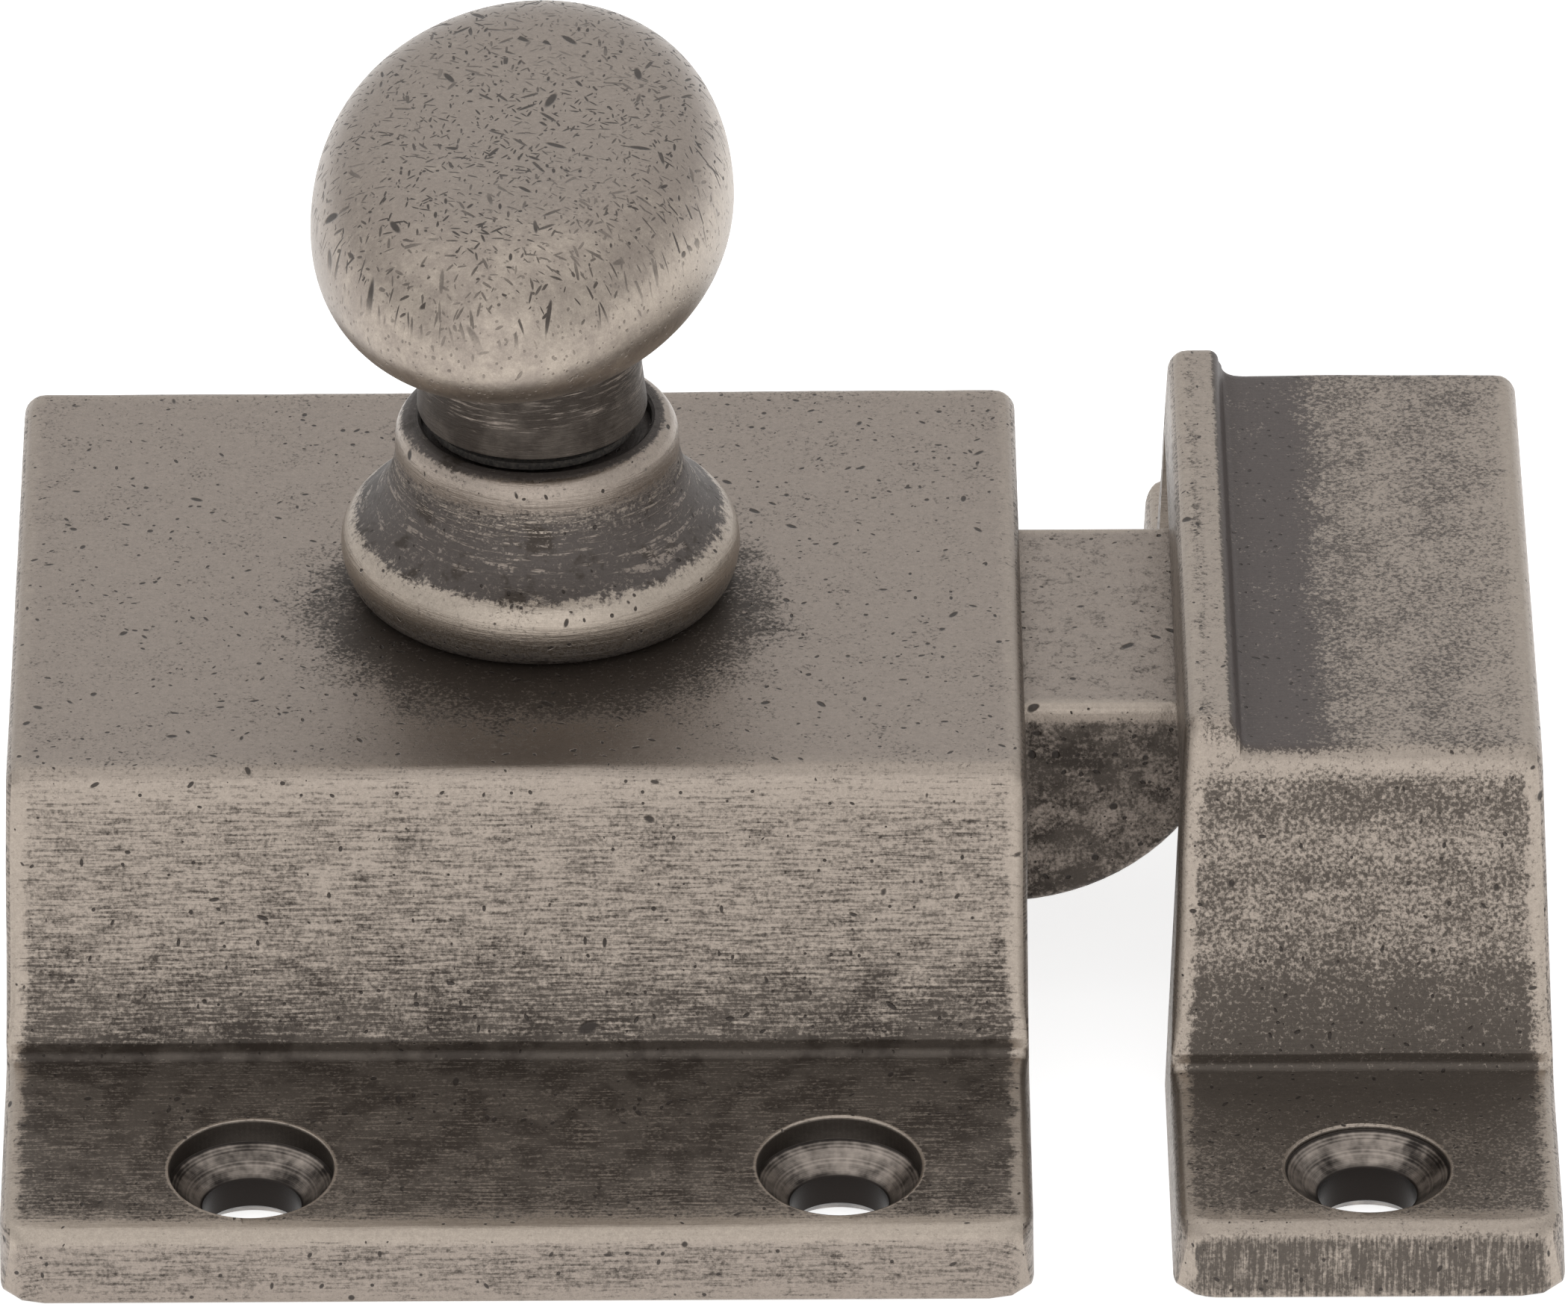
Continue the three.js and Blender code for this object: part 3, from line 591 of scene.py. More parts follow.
def pewter(tree, dark, pits, film, relief, deep, shine=0.0):
    """The plated metal: pale where it is worn, greyer under a film, of the colour deep where dark
    is 1, and pitted where pits is 1. relief is in hundredths of a millimetre."""
    grain = tree.grain(18, 3, 0.8)
    worn = tree.mix(film, PALE_PEWTER, FILM_PEWTER)
    color = tree.mix(pits * 0.92, tree.mix(dark, worn, deep), PIT_DARK)
    mottle = tree.grain(6, 3, 0.7)
    shade = (grain * 0.7 + 0.65) * (mottle * 0.5 + 0.75)
    covered = tree.greater(dark, pits)
    metallic = tree.blend(covered, 1.0, 0.5)
    roughness = tree.blend(covered, grain * 0.16 + (0.3 - shine), 0.5)
    height = grain * 0.5 - pits * 2.5 - dark * 0.5 + relief
    return tree.finish(tree.vector("SCALE", color, scale=shade), metallic, roughness, height, 0.01)


def screw_seats(tree, centre_x, spacing):
    """Masks of the wood-screw holes: all of a hole, its rim, worn pale and partly a painted glint,
    and the colour inside: the bore painted black as shade, the cone with painted reflections.
    """
    distance = tree.length(abs(tree.x - centre_x) - spacing / 2, abs(tree.y) - HOLE_Y)
    hole = tree.step(distance, HEAD_RADIUS + 0.05, HEAD_RADIUS - 0.02)
    # The rim is paler: partly wear, partly a painted glint.
    rim = tree.step(distance, HEAD_RADIUS + 0.18, HEAD_RADIUS + 0.08) * (1 - hole)
    # The bore is painted black as painted shade; the cone is painted in turned rings of dark and
    # metal as a painted reflection.
    cone = tree.step(distance, HOLE_RADIUS + 0.03, HOLE_RADIUS + 0.12)
    cone = cone * tree.step(distance, HEAD_RADIUS - 0.02, HEAD_RADIUS - 0.1)
    turned = tree.noise(tree.xyz(distance, 0.0), 11, 3, 0.7)
    bright = turned * 0.6 + tree.grain(1.1, 3, 0.6) * 0.8
    metal = tree.mix(tree.step(bright, 0.5, 0.95), SINK_PAINTED_SHADE, SINK_METAL)
    return hole, rim, tree.mix(cone, SINK_PAINTED_SHADE, metal)


def casting_material(name, stops, film_stops, size, holes, extra, weights, upright):
    """Pewter of a winged casting. size is its middle, half width and draft along X. stops and
    film_stops give the patina and the film along the unrolled v, and extra(tree, patina, film)
    alters them and gives the patina's colour. holes are the screw holes' shift and spacing.
    weights are the shares of brushed lines, fine grain and clouds on the slopes, and upright is
    the share of upright strokes on the end faces."""
    tree = Tree(name)
    centre_x, half_width, draft = size
    v, flat, sideways = unrolled(tree)
    patina = tree.blend(sideways, tree.profile(v, stops), 0.4)
    film = tree.blend(sideways, tree.profile(v, film_stops), 0.8)
    patina, film, deep = extra(tree, patina, film)
    from_edge = (1 - tree.z * draft) * half_width - abs(tree.x - centre_x)
    bare = tree.step(from_edge + tree.sway(1.6, 4, 0.6, 0.9), 0.85, 0.35) * (1 - sideways)
    patina = patina * (1 - bare * 0.85)
    film = film * (1 - bare * 0.35)
    hole, rim, sink = screw_seats(tree, centre_x + holes[0], holes[1])
    # Paler rims round the screw holes: wear and a painted glint.
    patina = patina * (1 - rim * 0.8)

    lines = tree.streaks(flat, (0.07, 1.0, 1.0), 10)
    fine = tree.grain(7.5, 3, 0.7)
    clouds = tree.grain(0.6, 4, 0.65)
    brushed, grainy, cloudy = weights
    slope = lines * brushed + fine * grainy + clouds * cloudy
    level = fine * 0.75 + clouds * 0.25
    field = tree.blend(tree.step(v, 2.6, 3.4), level, slope)
    if upright:
        on_front = tree.step(v, 23.3, 23.8)
        strokes = tree.streaks(flat, (1.0, 0.1, 1.0), 8)
        field = tree.blend(on_front * upright, field, strokes)
    dark = speckled(tree, patina, field)

    share = patina * 0.5 + 0.1
    small = tree.dashes(tree.point, 0.4, 0.16, 0.06, share, 3.0)
    medium = tree.dashes(tree.point, 1.0, 0.28, 0.1, 0.3, 7.0)
    large = tree.dashes(tree.point, 3.4, 0.34, 0.2, 0.4, 13.0)
    outside = 1 - hole
    pits = tree.greater(small, medium, large) * outside
    relief = (lines * 1.2 + clouds * 3.0) * outside
    made = pewter(tree, dark * outside, pits, film, relief, deep)
    for socket, inside in (("Base Color", sink), ("Metallic", 0.8), ("Roughness", 0.3)):
        outer = Field(tree, tree.shader.inputs[socket].links[0].from_socket)
        choose = tree.mix if socket == "Base Color" else tree.blend
        tree.put(tree.shader.inputs[socket], choose(hole, outer, inside))
    return made


# Castings ---------------------------------------------------------------------------------------


def winged_section(inner_top, top, cove_top, foot_z, wing_z, lip_z):
    """A casting's closed outline in (y, z). top is the ridge's height, which may stand above the
    cove's own top, and inner_top the height further in."""
    half = [
        (TOP_INNER, inner_top, 0),
        (TOP_HALF - 0.1 * (top - cove_top), top, RIDGE_RADIUS),
        *bowed((TOP_HALF, cove_top), (COVE_FOOT_Y, foot_z), COVE_SAG, COVE_POINTS),
        (COVE_FOOT_Y, foot_z, FOOT_RADIUS),
        (GROOVE_Y, wing_z + 0.06, GROOVE_RADIUS),
        (WING_Y, wing_z, 0.8),
        (END_Y, lip_z, LIP_RADIUS),
        (END_Y, 0, BASE_EDGE),
    ]
    mirrored = [(-y, z, radius) for y, z, radius in reversed(half)]
    return filleted(half + mirrored)


def end_rounding(point, top, foot_z):
    """Radius of a casting's end edge at a point of its outline."""

    def near(y, z, size):
        away = math.hypot(abs(point.x) - y, point.y - z) / size
        return math.exp(-away * away)

    r = EDGE_RADIUS + (CORNER_EDGE - EDGE_RADIUS) * near(TOP_HALF, top, 0.9)
    r -= (r - FOOT_EDGE) * near(COVE_FOOT_Y, foot_z, 0.6)
    return r - (r - FOOT_EDGE) * math.exp(-((point.y / 0.6) ** 2))


def winged_ring(outline, x, foot_z, depth, side, face_x, centre_x, draft):
    """One ring of a casting. depth runs from 0 in its middle to 1 at the rounded end edge."""
    angle = depth * math.pi / 2
    top = max(point.y for point in outline)
    reach = [end_rounding(point, top, foot_z) for point in outline]
    moved = inset(outline, [r * (1 - math.cos(angle)) for r in reach])
    half_x = abs(face_x - centre_x)
    fixed = END_Y - 2 * CORNER_RADIUS
    ring = []
    for point, r in zip(moved, reach):
        at = face_x - side * r * (1 - math.sin(angle)) if depth > 0 else x
        past = max(0.0, abs(at - centre_x) - half_x + CORNER_RADIUS)
        corner_y = END_Y - CORNER_RADIUS + math.sqrt(max(0.0, CORNER_RADIUS**2 - past**2))
        y = abs(point.x)
        if y > fixed:
            y = fixed + (y - fixed) * (corner_y - fixed) / (END_Y - fixed)
        at = centre_x + (at - centre_x) * (1 - draft * point.y)
        ring.append(Vector((at, math.copysign(y, point.x), point.y)))
    return ring


def waved(rings):
    """A little unevenness of hand finishing, fading out towards the mounting plane."""
    for ring in rings:
        for point in ring:
            amount = WAVE * min(1.0, point.z / 2)
            wander = noise.noise_vector(point * 0.22) + 0.5 * noise.noise_vector(point * 0.7)
            point += wander * amount
    return rings


def winged_rings(stations, section_at, foot_z, centre_x, draft):
    """Rings of a whole casting with its ends rounded. stations are x from left to right."""
    left, right = stations[0], stations[-1]
    rings = []
    for step in range(EDGE_STEPS, 0, -1):
        depth = step / EDGE_STEPS
        outline = section_at(left)
        rings.append(winged_ring(outline, left, foot_z, depth, -1, left, centre_x, draft))
    for x in stations[1:-1]:
        face = right if x > centre_x else left
        rings.append(winged_ring(section_at(x), x, foot_z, 0, 0, face, centre_x, draft))
    for step in range(1, EDGE_STEPS + 1):
        depth = step / EDGE_STEPS
        outline = section_at(right)
        rings.append(winged_ring(outline, right, foot_z, depth, 1, right, centre_x, draft))
    return waved(rings)


def spread(start, end, spacing):
    """Evenly spaced places from start to end."""
    count = max(1, round(abs(end - start) / spacing))
    return [start + (end - start) * k / count for k in range(count + 1)]


def screw_hole(mesh, x, y, surface, counterbore, slope):
    """A cutting tool for a countersunk hole with a softened rim that follows the wing's slope."""
    seat = surface - counterbore
    throat = seat - (HEAD_RADIUS - HOLE_RADIUS) * CONE_DEPTH
    flare = []
    for k in range(4):
        angle = math.pi / 6 * k
        out = HEAD_RADIUS + RIM_FLARE * (1 - math.cos(angle))
        flare.append((out, surface - RIM_FLARE * (1 - math.sin(angle))))
    profile = [
        (0, -PAST), (HOLE_RADIUS + HOLE_CHAMFER + 0.3, -PAST), (HOLE_RADIUS + HOLE_CHAMFER, 0),
        (HOLE_RADIUS, HOLE_CHAMFER), (HOLE_RADIUS, throat), (HEAD_RADIUS, seat),
        *flare,
        (HEAD_RADIUS + RIM_FLARE + 0.3, surface + 0.5),
        (0, surface + 0.5),
    ]
    revolve(mesh, profile, (x, y), 96, (surface - 1.5 * RIM_FLARE, slope))


def make_case():
    """The case casting: a hollow box between two sloping wings."""
    width = CASE_HIGH.x
    edge = CORNER_RADIUS

    section = winged_section(CASE_TOP, CASE_TOP, CASE_TOP, CASE_FOOT_Z, CASE_WING_Z, CASE_LIP_Z)

    inner = [-width + edge / 2, *spread(-width + edge, width - edge, 0.55), width - edge / 2]
    stations = [-width, *inner, width]
    rings = winged_rings(stations, lambda x: section, CASE_FOOT_Z, 0, CASE_DRAFT)
    case = piece("case_casting", lambda mesh: loft(mesh, rings))
    inside_x = width - CASE_WALL
    inside_y = TOP_HALF - CASE_WALL
    slope = (CASE_WING_Z - CASE_LIP_Z) / (END_Y - WING_Y)
    surface = CASE_LIP_Z + HOLE_INSET * slope

    def cavity(mesh):
        block(mesh, (-inside_x, inside_x), (-inside_y, inside_y), (-PAST, ROOF_Z), 0.8)

    def window(mesh):
        levels = (NOSE_LOW - GAP, ROOF_Z - 0.02)
        block(mesh, (inside_x - PAST, width + PAST), (-WINDOW_HALF, WINDOW_HALF), levels)

    def bosses(mesh):
        for boss in BOSSES:
            drum(mesh, BOSS_RADIUS, (PLATE_HIGH.z + GAP, ROOF_Z + 0.6), boss, 48)

    def openings(mesh):
        drum(mesh, SPIGOT_RADIUS + GAP, (ROOF_Z - PAST, CASE_TOP + PAST), (AXIS_X, 0), 72)
        for boss in BOSSES:
            drum(mesh, TAP_RADIUS, (-PAST, TAP_TOP), boss, 32)

    def spring_recess(mesh):
        rod(mesh, SPRING_ROOM, (GUIDE_LOW.x - GAP, -inside_x + PAST), 0, SPRING_Z)

    def screw_holes(mesh):
        for x in (HOLE_SHIFT - HOLE_SPACING / 2, HOLE_SHIFT + HOLE_SPACING / 2):
            for side in (-1, 1):
                lean = -side * slope
                screw_hole(mesh, x, side * HOLE_Y, surface, CASE_COUNTERBORE, lean)

    combined(case, "DIFFERENCE", cavity)
    combined(case, "DIFFERENCE", window)
    combined(case, "UNION", bosses)
    combined(case, "DIFFERENCE", openings)
    combined(case, "DIFFERENCE", spring_recess)
    combined(case, "DIFFERENCE", screw_holes)
    return case


def rib_height(x, run, rise):
    """The strike's top across its rib, whose foot is filleted run wide and rise high."""
    rib_top = STRIKE_HIGH.z
    if x <= RIB_X - RIB_ROUND:
        return rib_top
    if x <= RIB_X:
        past = x - (RIB_X - RIB_ROUND)
        return rib_top - RIB_ROUND + math.sqrt(max(0.0, RIB_ROUND**2 - past**2))
    if x <= RIB_FOOT:
        share = (x - RIB_X) / RIB_LEAN
        return rib_top - RIB_ROUND + share * (STRIKE_TOP + rise - rib_top + RIB_ROUND)
    share = max(0.0, (RIB_FOOT + run - x) / run)
    return STRIKE_TOP + rise * (1 - math.sqrt(1 - share * share))


def make_strike():
    """The strike casting: a hollow open towards the bolt, with a raised rib along that side."""
    left, right = STRIKE_LOW.x, STRIKE_HIGH.x
    edge = CORNER_RADIUS

    def section_at(x):
        inner = rib_height(x, RIB_FILLET, RIB_FILLET)
        ridge = rib_height(x, RIB_END_RUN, RIB_END_RISE)
        wings = (STRIKE_FOOT_Z, STRIKE_WING_Z + 0.02, STRIKE_WING_Z)
        return winged_section(inner, ridge, STRIKE_TOP, *wings)

    rounded = [RIB_X - RIB_ROUND * (1 - math.sin(math.pi / 16 * k)) for k in range(9)]
    flared = [RIB_FOOT + RIB_END_RUN * (k / 12) ** 1.6 for k in range(13)]
    stations = [left, *spread(left + CORNER_EDGE, rounded[0] - 0.1, 0.3), *rounded]
    stations += [RIB_X + RIB_LEAN / 2, *flared, *spread(flared[-1] + 0.3, right - edge, 0.45)]
    stations += [right - edge / 2, right]
    rings = winged_rings(stations, section_at, STRIKE_FOOT_Z, STRIKE_CENTRE, STRIKE_DRAFT)
    strike = piece("strike_casting", lambda mesh: loft(mesh, rings))

    def hollow(mesh):
        half = STRIKE_HOLLOW_HALF
        block(mesh, (left - PAST, right - STRIKE_WALL), (-half, half), (-PAST, STRIKE_CEILING), 0.6)

    def screw_holes(mesh):
        for side in (-1, 1):
            screw_hole(mesh, STRIKE_CENTRE, side * HOLE_Y, STRIKE_WING_Z, STRIKE_COUNTERBORE, 0)

    combined(strike, "DIFFERENCE", hollow)
    combined(strike, "DIFFERENCE", screw_holes)
    return strike


# Turned and moving pieces -----------------------------------------------------------------------

# Radius and height above the case's top, from the rose's foot to its collar
ROSE_OUTLINE = [
    (5.95, 0.05), (6.24, 0.16), (6.5, 0.5), (6.68, 1.0), (6.74, 1.5), (6.66, 1.95), (6.45, 2.3),
    (6.15, 2.58), (5.75, 2.93), (5.35, 3.4), (5.05, 3.95), (4.88, 4.5), (4.8, 5.0), (4.79, 5.5),
    (4.72, 5.88), (4.54, 6.16), (4.3, 6.28),
]
ROSE_SHIFT = 0.27  # the rose stands a little to the right of the knob's axis at its foot
ROSE_LEAN = -0.022


def make_rose():
    """The turned rose under the knob, with its spigot in the case's roof."""
    outline = smoothed([(r, CASE_TOP + height) for r, height in ROSE_OUTLINE], 5)
    top = ROSE_HIGH.z
    profile = [
        (ROSE_BORE, ROOF_Z),
        (SPIGOT_RADIUS, ROOF_Z),
        (SPIGOT_RADIUS, CASE_TOP + 0.05),
        *[(p.x, p.y) for p in outline],
        (4.0, top - 0.03),
        (3.9, top - 0.1),
        (3.87, top - 0.5),
        (ROSE_BORE, top - 0.5),
    ]

    def build(mesh):
        revolve(mesh, profile, (AXIS_X, 0), 144)
        for corner in mesh.verts:
            rise = corner.co.z - CASE_TOP
            if rise > 0:
                corner.co.x += ROSE_SHIFT + ROSE_LEAN * rise

    return piece("rose_turned", build)


HEAD_LENGTH = 22.7
HEAD_WIDTH = 14.0
HEAD_TURN = math.radians(-7)
HEAD_RIM_Z = 27.2
HEAD_DROP = 2.4
HEAD_FULLNESS = 0.3
KNOB_LEAN = -0.035  # sideways shift of the knob for each millimetre above its foot
UNDER_EDGE = 0.8  # share of the head's size where its underside flattens out
NECK_RADIUS = 3.88
NECK_WAIST = 3.74
NECK_TOP = 24.3
TANG_BORE = 1.9
TANG_TOP = 25.5
RIDGE_PITCH = 0.36  # turned ridges below the head
RIDGES = 4


def neck_profile(foot):
    """(radius, z) of the neck, from its chamfered foot to the fillet under the head."""
    neck = [(NECK_RADIUS - 0.14, foot), (NECK_RADIUS - 0.03, foot + 0.05)]
    neck += [(NECK_RADIUS, foot + 0.15), (NECK_WAIST + 0.05, foot + 1.2), (NECK_WAIST, foot + 2)]
    for k in range(RIDGES, 0, -1):
        z = NECK_TOP - k * RIDGE_PITCH
        neck += [(NECK_WAIST, z - 0.07), (NECK_WAIST + 0.07, z), (NECK_WAIST, z + 0.1)]
    return neck + [(NECK_WAIST, NECK_TOP), (NECK_WAIST + 0.08, NECK_TOP + 0.22)]


def knob_rings():
    """(half width, half length, z) rings of the knob, from the tang's bore out and up."""
    foot = KNOB_LOW.z
    crown = KNOB_HIGH.z - HEAD_RIM_Z
    half_width = HEAD_WIDTH / 2
    half_length = HEAD_LENGTH / 2
    rings = [(0, 0, TANG_TOP), (TANG_BORE, TANG_BORE, TANG_TOP), (TANG_BORE, TANG_BORE, foot)]
    rings += [(r, r, z) for r, z in neck_profile(foot)]
    start = math.acos(UNDER_EDGE ** (1 / HEAD_FULLNESS))
    under_z = HEAD_RIM_Z - HEAD_DROP * math.sin(start)
    inner = NECK_WAIST + 0.2
    low = NECK_TOP + 0.4
    for k in range(1, 10):
        share = k / 10
        across = inner + (half_width * UNDER_EDGE - inner) * share
        along = inner + (half_length * UNDER_EDGE - inner) * share
        rings.append((across, along, low + (under_z - low) * share**1.5))
    lower = [-start * (1 - k / 14) for k in range(14)]
    upper = [math.pi / 2 * (1 - (1 - k / 44) ** 2.2) for k in range(44)]
    for angle in lower + upper:
        share = math.cos(angle) ** HEAD_FULLNESS
        rise = HEAD_DROP if angle < 0 else crown
        z = HEAD_RIM_Z + rise * math.sin(angle)
        rings.append((half_width * share, half_length * share, z))
    return rings + [(0, 0, KNOB_HIGH.z)]


def make_knob():
    """The oval knob: neck and head as one surface, leaning a little to the left."""
    foot = KNOB_LOW.z
    steps = 160
    turn = Matrix.Rotation(HEAD_TURN, 3, "Z")

    def build(mesh):
        made = []
        for across, along, z in knob_rings():
            ring = []
            for k in range(1 if across < TINY else steps):
                angle = 2 * math.pi * k / steps
                place = turn @ Vector((across * math.cos(angle), along * math.sin(angle), z))
                place.x += AXIS_X + KNOB_LEAN * (z - foot)
                ring.append(mesh.verts.new(place))
            made.append(ring)
        for lower, upper in zip(made, made[1:]):
            bridge(mesh, lower, upper)

    return piece("knob_casting", build)


def make_bolt():
    """The half-round bolt, with the bridge, slot and tail that the cam works on."""
    tip = BOLT_HIGH.x
    top = BOLT_HIGH.z
    tail_back = BOLT_LOW.x + STUB_LENGTH
    tail_face = tail_back + BOLT_SHEET
    bridge_low = top - BOLT_SHEET
    nose_radius = top - NOSE_LOW
    arc = []
    for k in range(1, 20):
        angle = math.pi / 2 * (k / 20 - 1)
        x = tip - nose_radius + nose_radius * math.cos(angle)
        arc.append((x, top + nose_radius * math.sin(angle), 0))
    outline = filleted(
        [
            (tail_back, BOLT_LOW.z, BOLT_EDGE),
            (tail_face, BOLT_LOW.z, BOLT_EDGE),
            (tail_face, bridge_low, BOLT_EDGE),
            (NOSE_REAR, bridge_low, BOLT_EDGE),
            (NOSE_REAR, NOSE_LOW, BOLT_EDGE),
            (tip - nose_radius, NOSE_LOW, 0),
            *arc,
            (tip, top, BOLT_EDGE),
            (tail_back, top, BOLT_EDGE),
        ],
        5,
    )
    rings = []
    for side in (-1, 1):
        angles = [math.pi / 2 * k / 5 for k in range(6)]
        for angle in angles if side > 0 else reversed(angles):
            moved = inset(outline, [BOLT_EDGE * 0.95 * (1 - math.cos(angle))] * len(outline))
            y = side * (NOSE_HALF - BOLT_EDGE * (1 - math.sin(angle)))
            rings.append([(p.x, y, p.y) for p in moved])
    bolt = piece("bolt_casting", lambda mesh: loft(mesh, rings))
    shoulder_front = CASE_HIGH.x - CASE_WALL - GAP

    def shoulder(mesh):
        span = (shoulder_front - 2, shoulder_front)
        block(mesh, span, (BOLT_LOW.y, BOLT_HIGH.y), (NOSE_LOW + 0.02, top - 0.02), 0.2)

    def stub(mesh):
        rod(mesh, STUB_RADIUS, (BOLT_LOW.x, tail_back + 0.5), 0, SPRING_Z)

    def slot(mesh):
        reach = SPINDLE_CLEARANCE
        span = (AXIS_X - reach, AXIS_X + BOLT_THROW + reach)
        block(mesh, span, (-reach, reach), (bridge_low - PAST, top + PAST), reach - 0.01)

    combined(bolt, "UNION", shoulder)
    combined(bolt, "UNION", stub)
    combined(bolt, "DIFFERENCE", slot)
    return bolt


def make_spring():
    """The bolt's compression spring, with closed end turns."""
    start = SPRING_LOW.x + WIRE_RADIUS
    length = SPRING_HIGH.x - SPRING_LOW.x - 2 * WIRE_RADIUS
    radius = (SPRING_HIGH.y - SPRING_LOW.y) / 2 - WIRE_RADIUS
    closed = 2 * WIRE_RADIUS / length
    steps = SPRING_TURNS * 28
    rings = []
    for k in range(steps + 1):
        turn = SPRING_TURNS * k / steps
        if turn < 1:
            share = closed * turn
        elif turn > SPRING_TURNS - 1:
            share = 1 - closed * (SPRING_TURNS - turn)
        else:
            share = closed + (1 - 2 * closed) * (turn - 1) / (SPRING_TURNS - 2)
        angle = 2 * math.pi * turn
        out = Vector((0, math.cos(angle), math.sin(angle)))
        middle = Vector((start + length * share, 0, SPRING_Z)) + out * radius
        ring = []
        for side in range(10):
            around = 2 * math.pi * side / 10
            wire = out * math.cos(around) + Vector((math.sin(around), 0, 0))
            ring.append(middle + wire * WIRE_RADIUS)
        rings.append(ring)
    return piece("spring_coil", lambda mesh: loft(mesh, rings))


def plate_blank(mesh):
    """The back plate's sheet, its corners rounded and its edges chamfered."""
    low, high = PLATE_LOW, PLATE_HIGH
    edge = PLATE_EDGE
    levels = ((0, edge), (edge, 0), (high.z - edge, 0), (high.z, edge))
    rings = []
    for z, pull in levels:
        left, right = low.x + pull, high.x - pull
        front, rear = low.y + pull, high.y - pull
        corners = [(left, front), (right, front), (right, rear), (left, rear)]
        plan = filleted([(x, y, PLATE_CORNER) for x, y in corners])
        rings.append([(p.x, p.y, z) for p in plan])
    loft(mesh, rings)


def make_back_plate():
    """The sheet that closes the case's back, with countersinks for its four screws."""
    plate = piece("back_sheet", plate_blank)

    def countersinks(mesh):
        low, high = -0.1, SEAT_DEPTH
        for boss in BOSSES:
            revolve(mesh, [(0, low), (SEAT_RADIUS, low), (TAP_RADIUS, high), (0, high)], boss, 48)

    combined(plate, "DIFFERENCE", countersinks)
    return plate


def make_plate_screw(node):
    """A countersunk slotted screw in the back plate."""
    low, high = millimetres(node)
    centre = ((low.x + high.x) / 2, (low.y + high.y) / 2)
    head = (high.x - low.x) / 2
    shank = SHANK_RADIUS
    turns = 9
    profile = [(0, low.z), (head - 0.08, low.z), (head, low.z + 0.08)]
    profile.append((shank, PLATE_HIGH.z - 0.1))
    for k in range(turns):
        z = PLATE_HIGH.z + 0.2 + k * (high.z - PLATE_HIGH.z - 0.5) / turns
        profile += [(shank, z), (shank - THREAD_DEPTH, z + 0.14), (shank, z + 0.28)]
    profile += [(shank - 0.2, high.z), (0, high.z)]
    screw = piece(node + "_turned", lambda mesh: revolve(mesh, profile, centre, 48))

    def slot(mesh):
        span = (centre[0] - 2, centre[0] + 2)
        block(mesh, span, (centre[1] - 0.2, centre[1] + 0.2), (low.z - PAST, low.z + 0.4))

    combined(screw, "DIFFERENCE", slot)
    return screw


# Materials --------------------------------------------------------------------------------------


def case_pewter():
    """Patina along the case: an even film on top, pale ridges and lips, brushed coves, and dark
    grooves and wings, with a dark ring round the rose's foot that is partly patina and partly
    painted shadow of the rose."""
    stops = [
        (-10.0, 0.1), (2.0, 0.12), (2.8, 0.18), (4.0, 0.24), (4.7, 0.4), (6.5, 0.4),
        (8.5, 0.44), (10.2, 0.55), (11.6, 0.66), (12.1, 0.7), (12.42, 0.8), (12.55, 1.0),
        (12.9, 1.0), (13.2, 0.72), (14.0, 0.8), (16.0, 0.78), (19.0, 0.74), (21.6, 0.68),
        (22.4, 0.5), (22.75, 0.05), (23.5, 0.0), (23.9, 0.36), (24.8, 0.42), (25.6, 0.1),
    ]
    film_stops = [(-10.0, 1.0), (2.2, 1.0), (2.9, 0.6), (4.0, 0.5), (5.0, 0.5), (12.0, 0.4)]
    film_stops += [(22.0, 0.4), (22.8, 0.0), (23.5, 0.0), (23.9, 0.9), (25.6, 0.9)]

    def extra(tree, patina, film):
        # Painted shadow with patina: a dark brown ring round the rose's foot, centred towards the
        # front, where the rose's shadow falls.
        x = tree.x - (AXIS_X + 0.3)
        y = tree.y + 2.2
        from_rose = tree.length(x, y) + tree.sway(0.45, 3, 0.6, 3.0)
        on_top = tree.math("GREATER_THAN", tree.z, CASE_TOP - 0.5)
        ring = tree.step(from_rose, 10.2, 5.2) * on_top
        deep = tree.mix(ring, patches_of_brown(tree), BROWN_PATINA)
        return tree.greater(patina, ring * 0.98), film, deep

    size = (0, CASE_HIGH.x, CASE_DRAFT)
    holes = (HOLE_SHIFT, HOLE_SPACING)
    weights = (0.5, 0.37, 0.13)
    return casting_material("pewter_case", stops, film_stops, size, holes, extra, weights, 0.0)


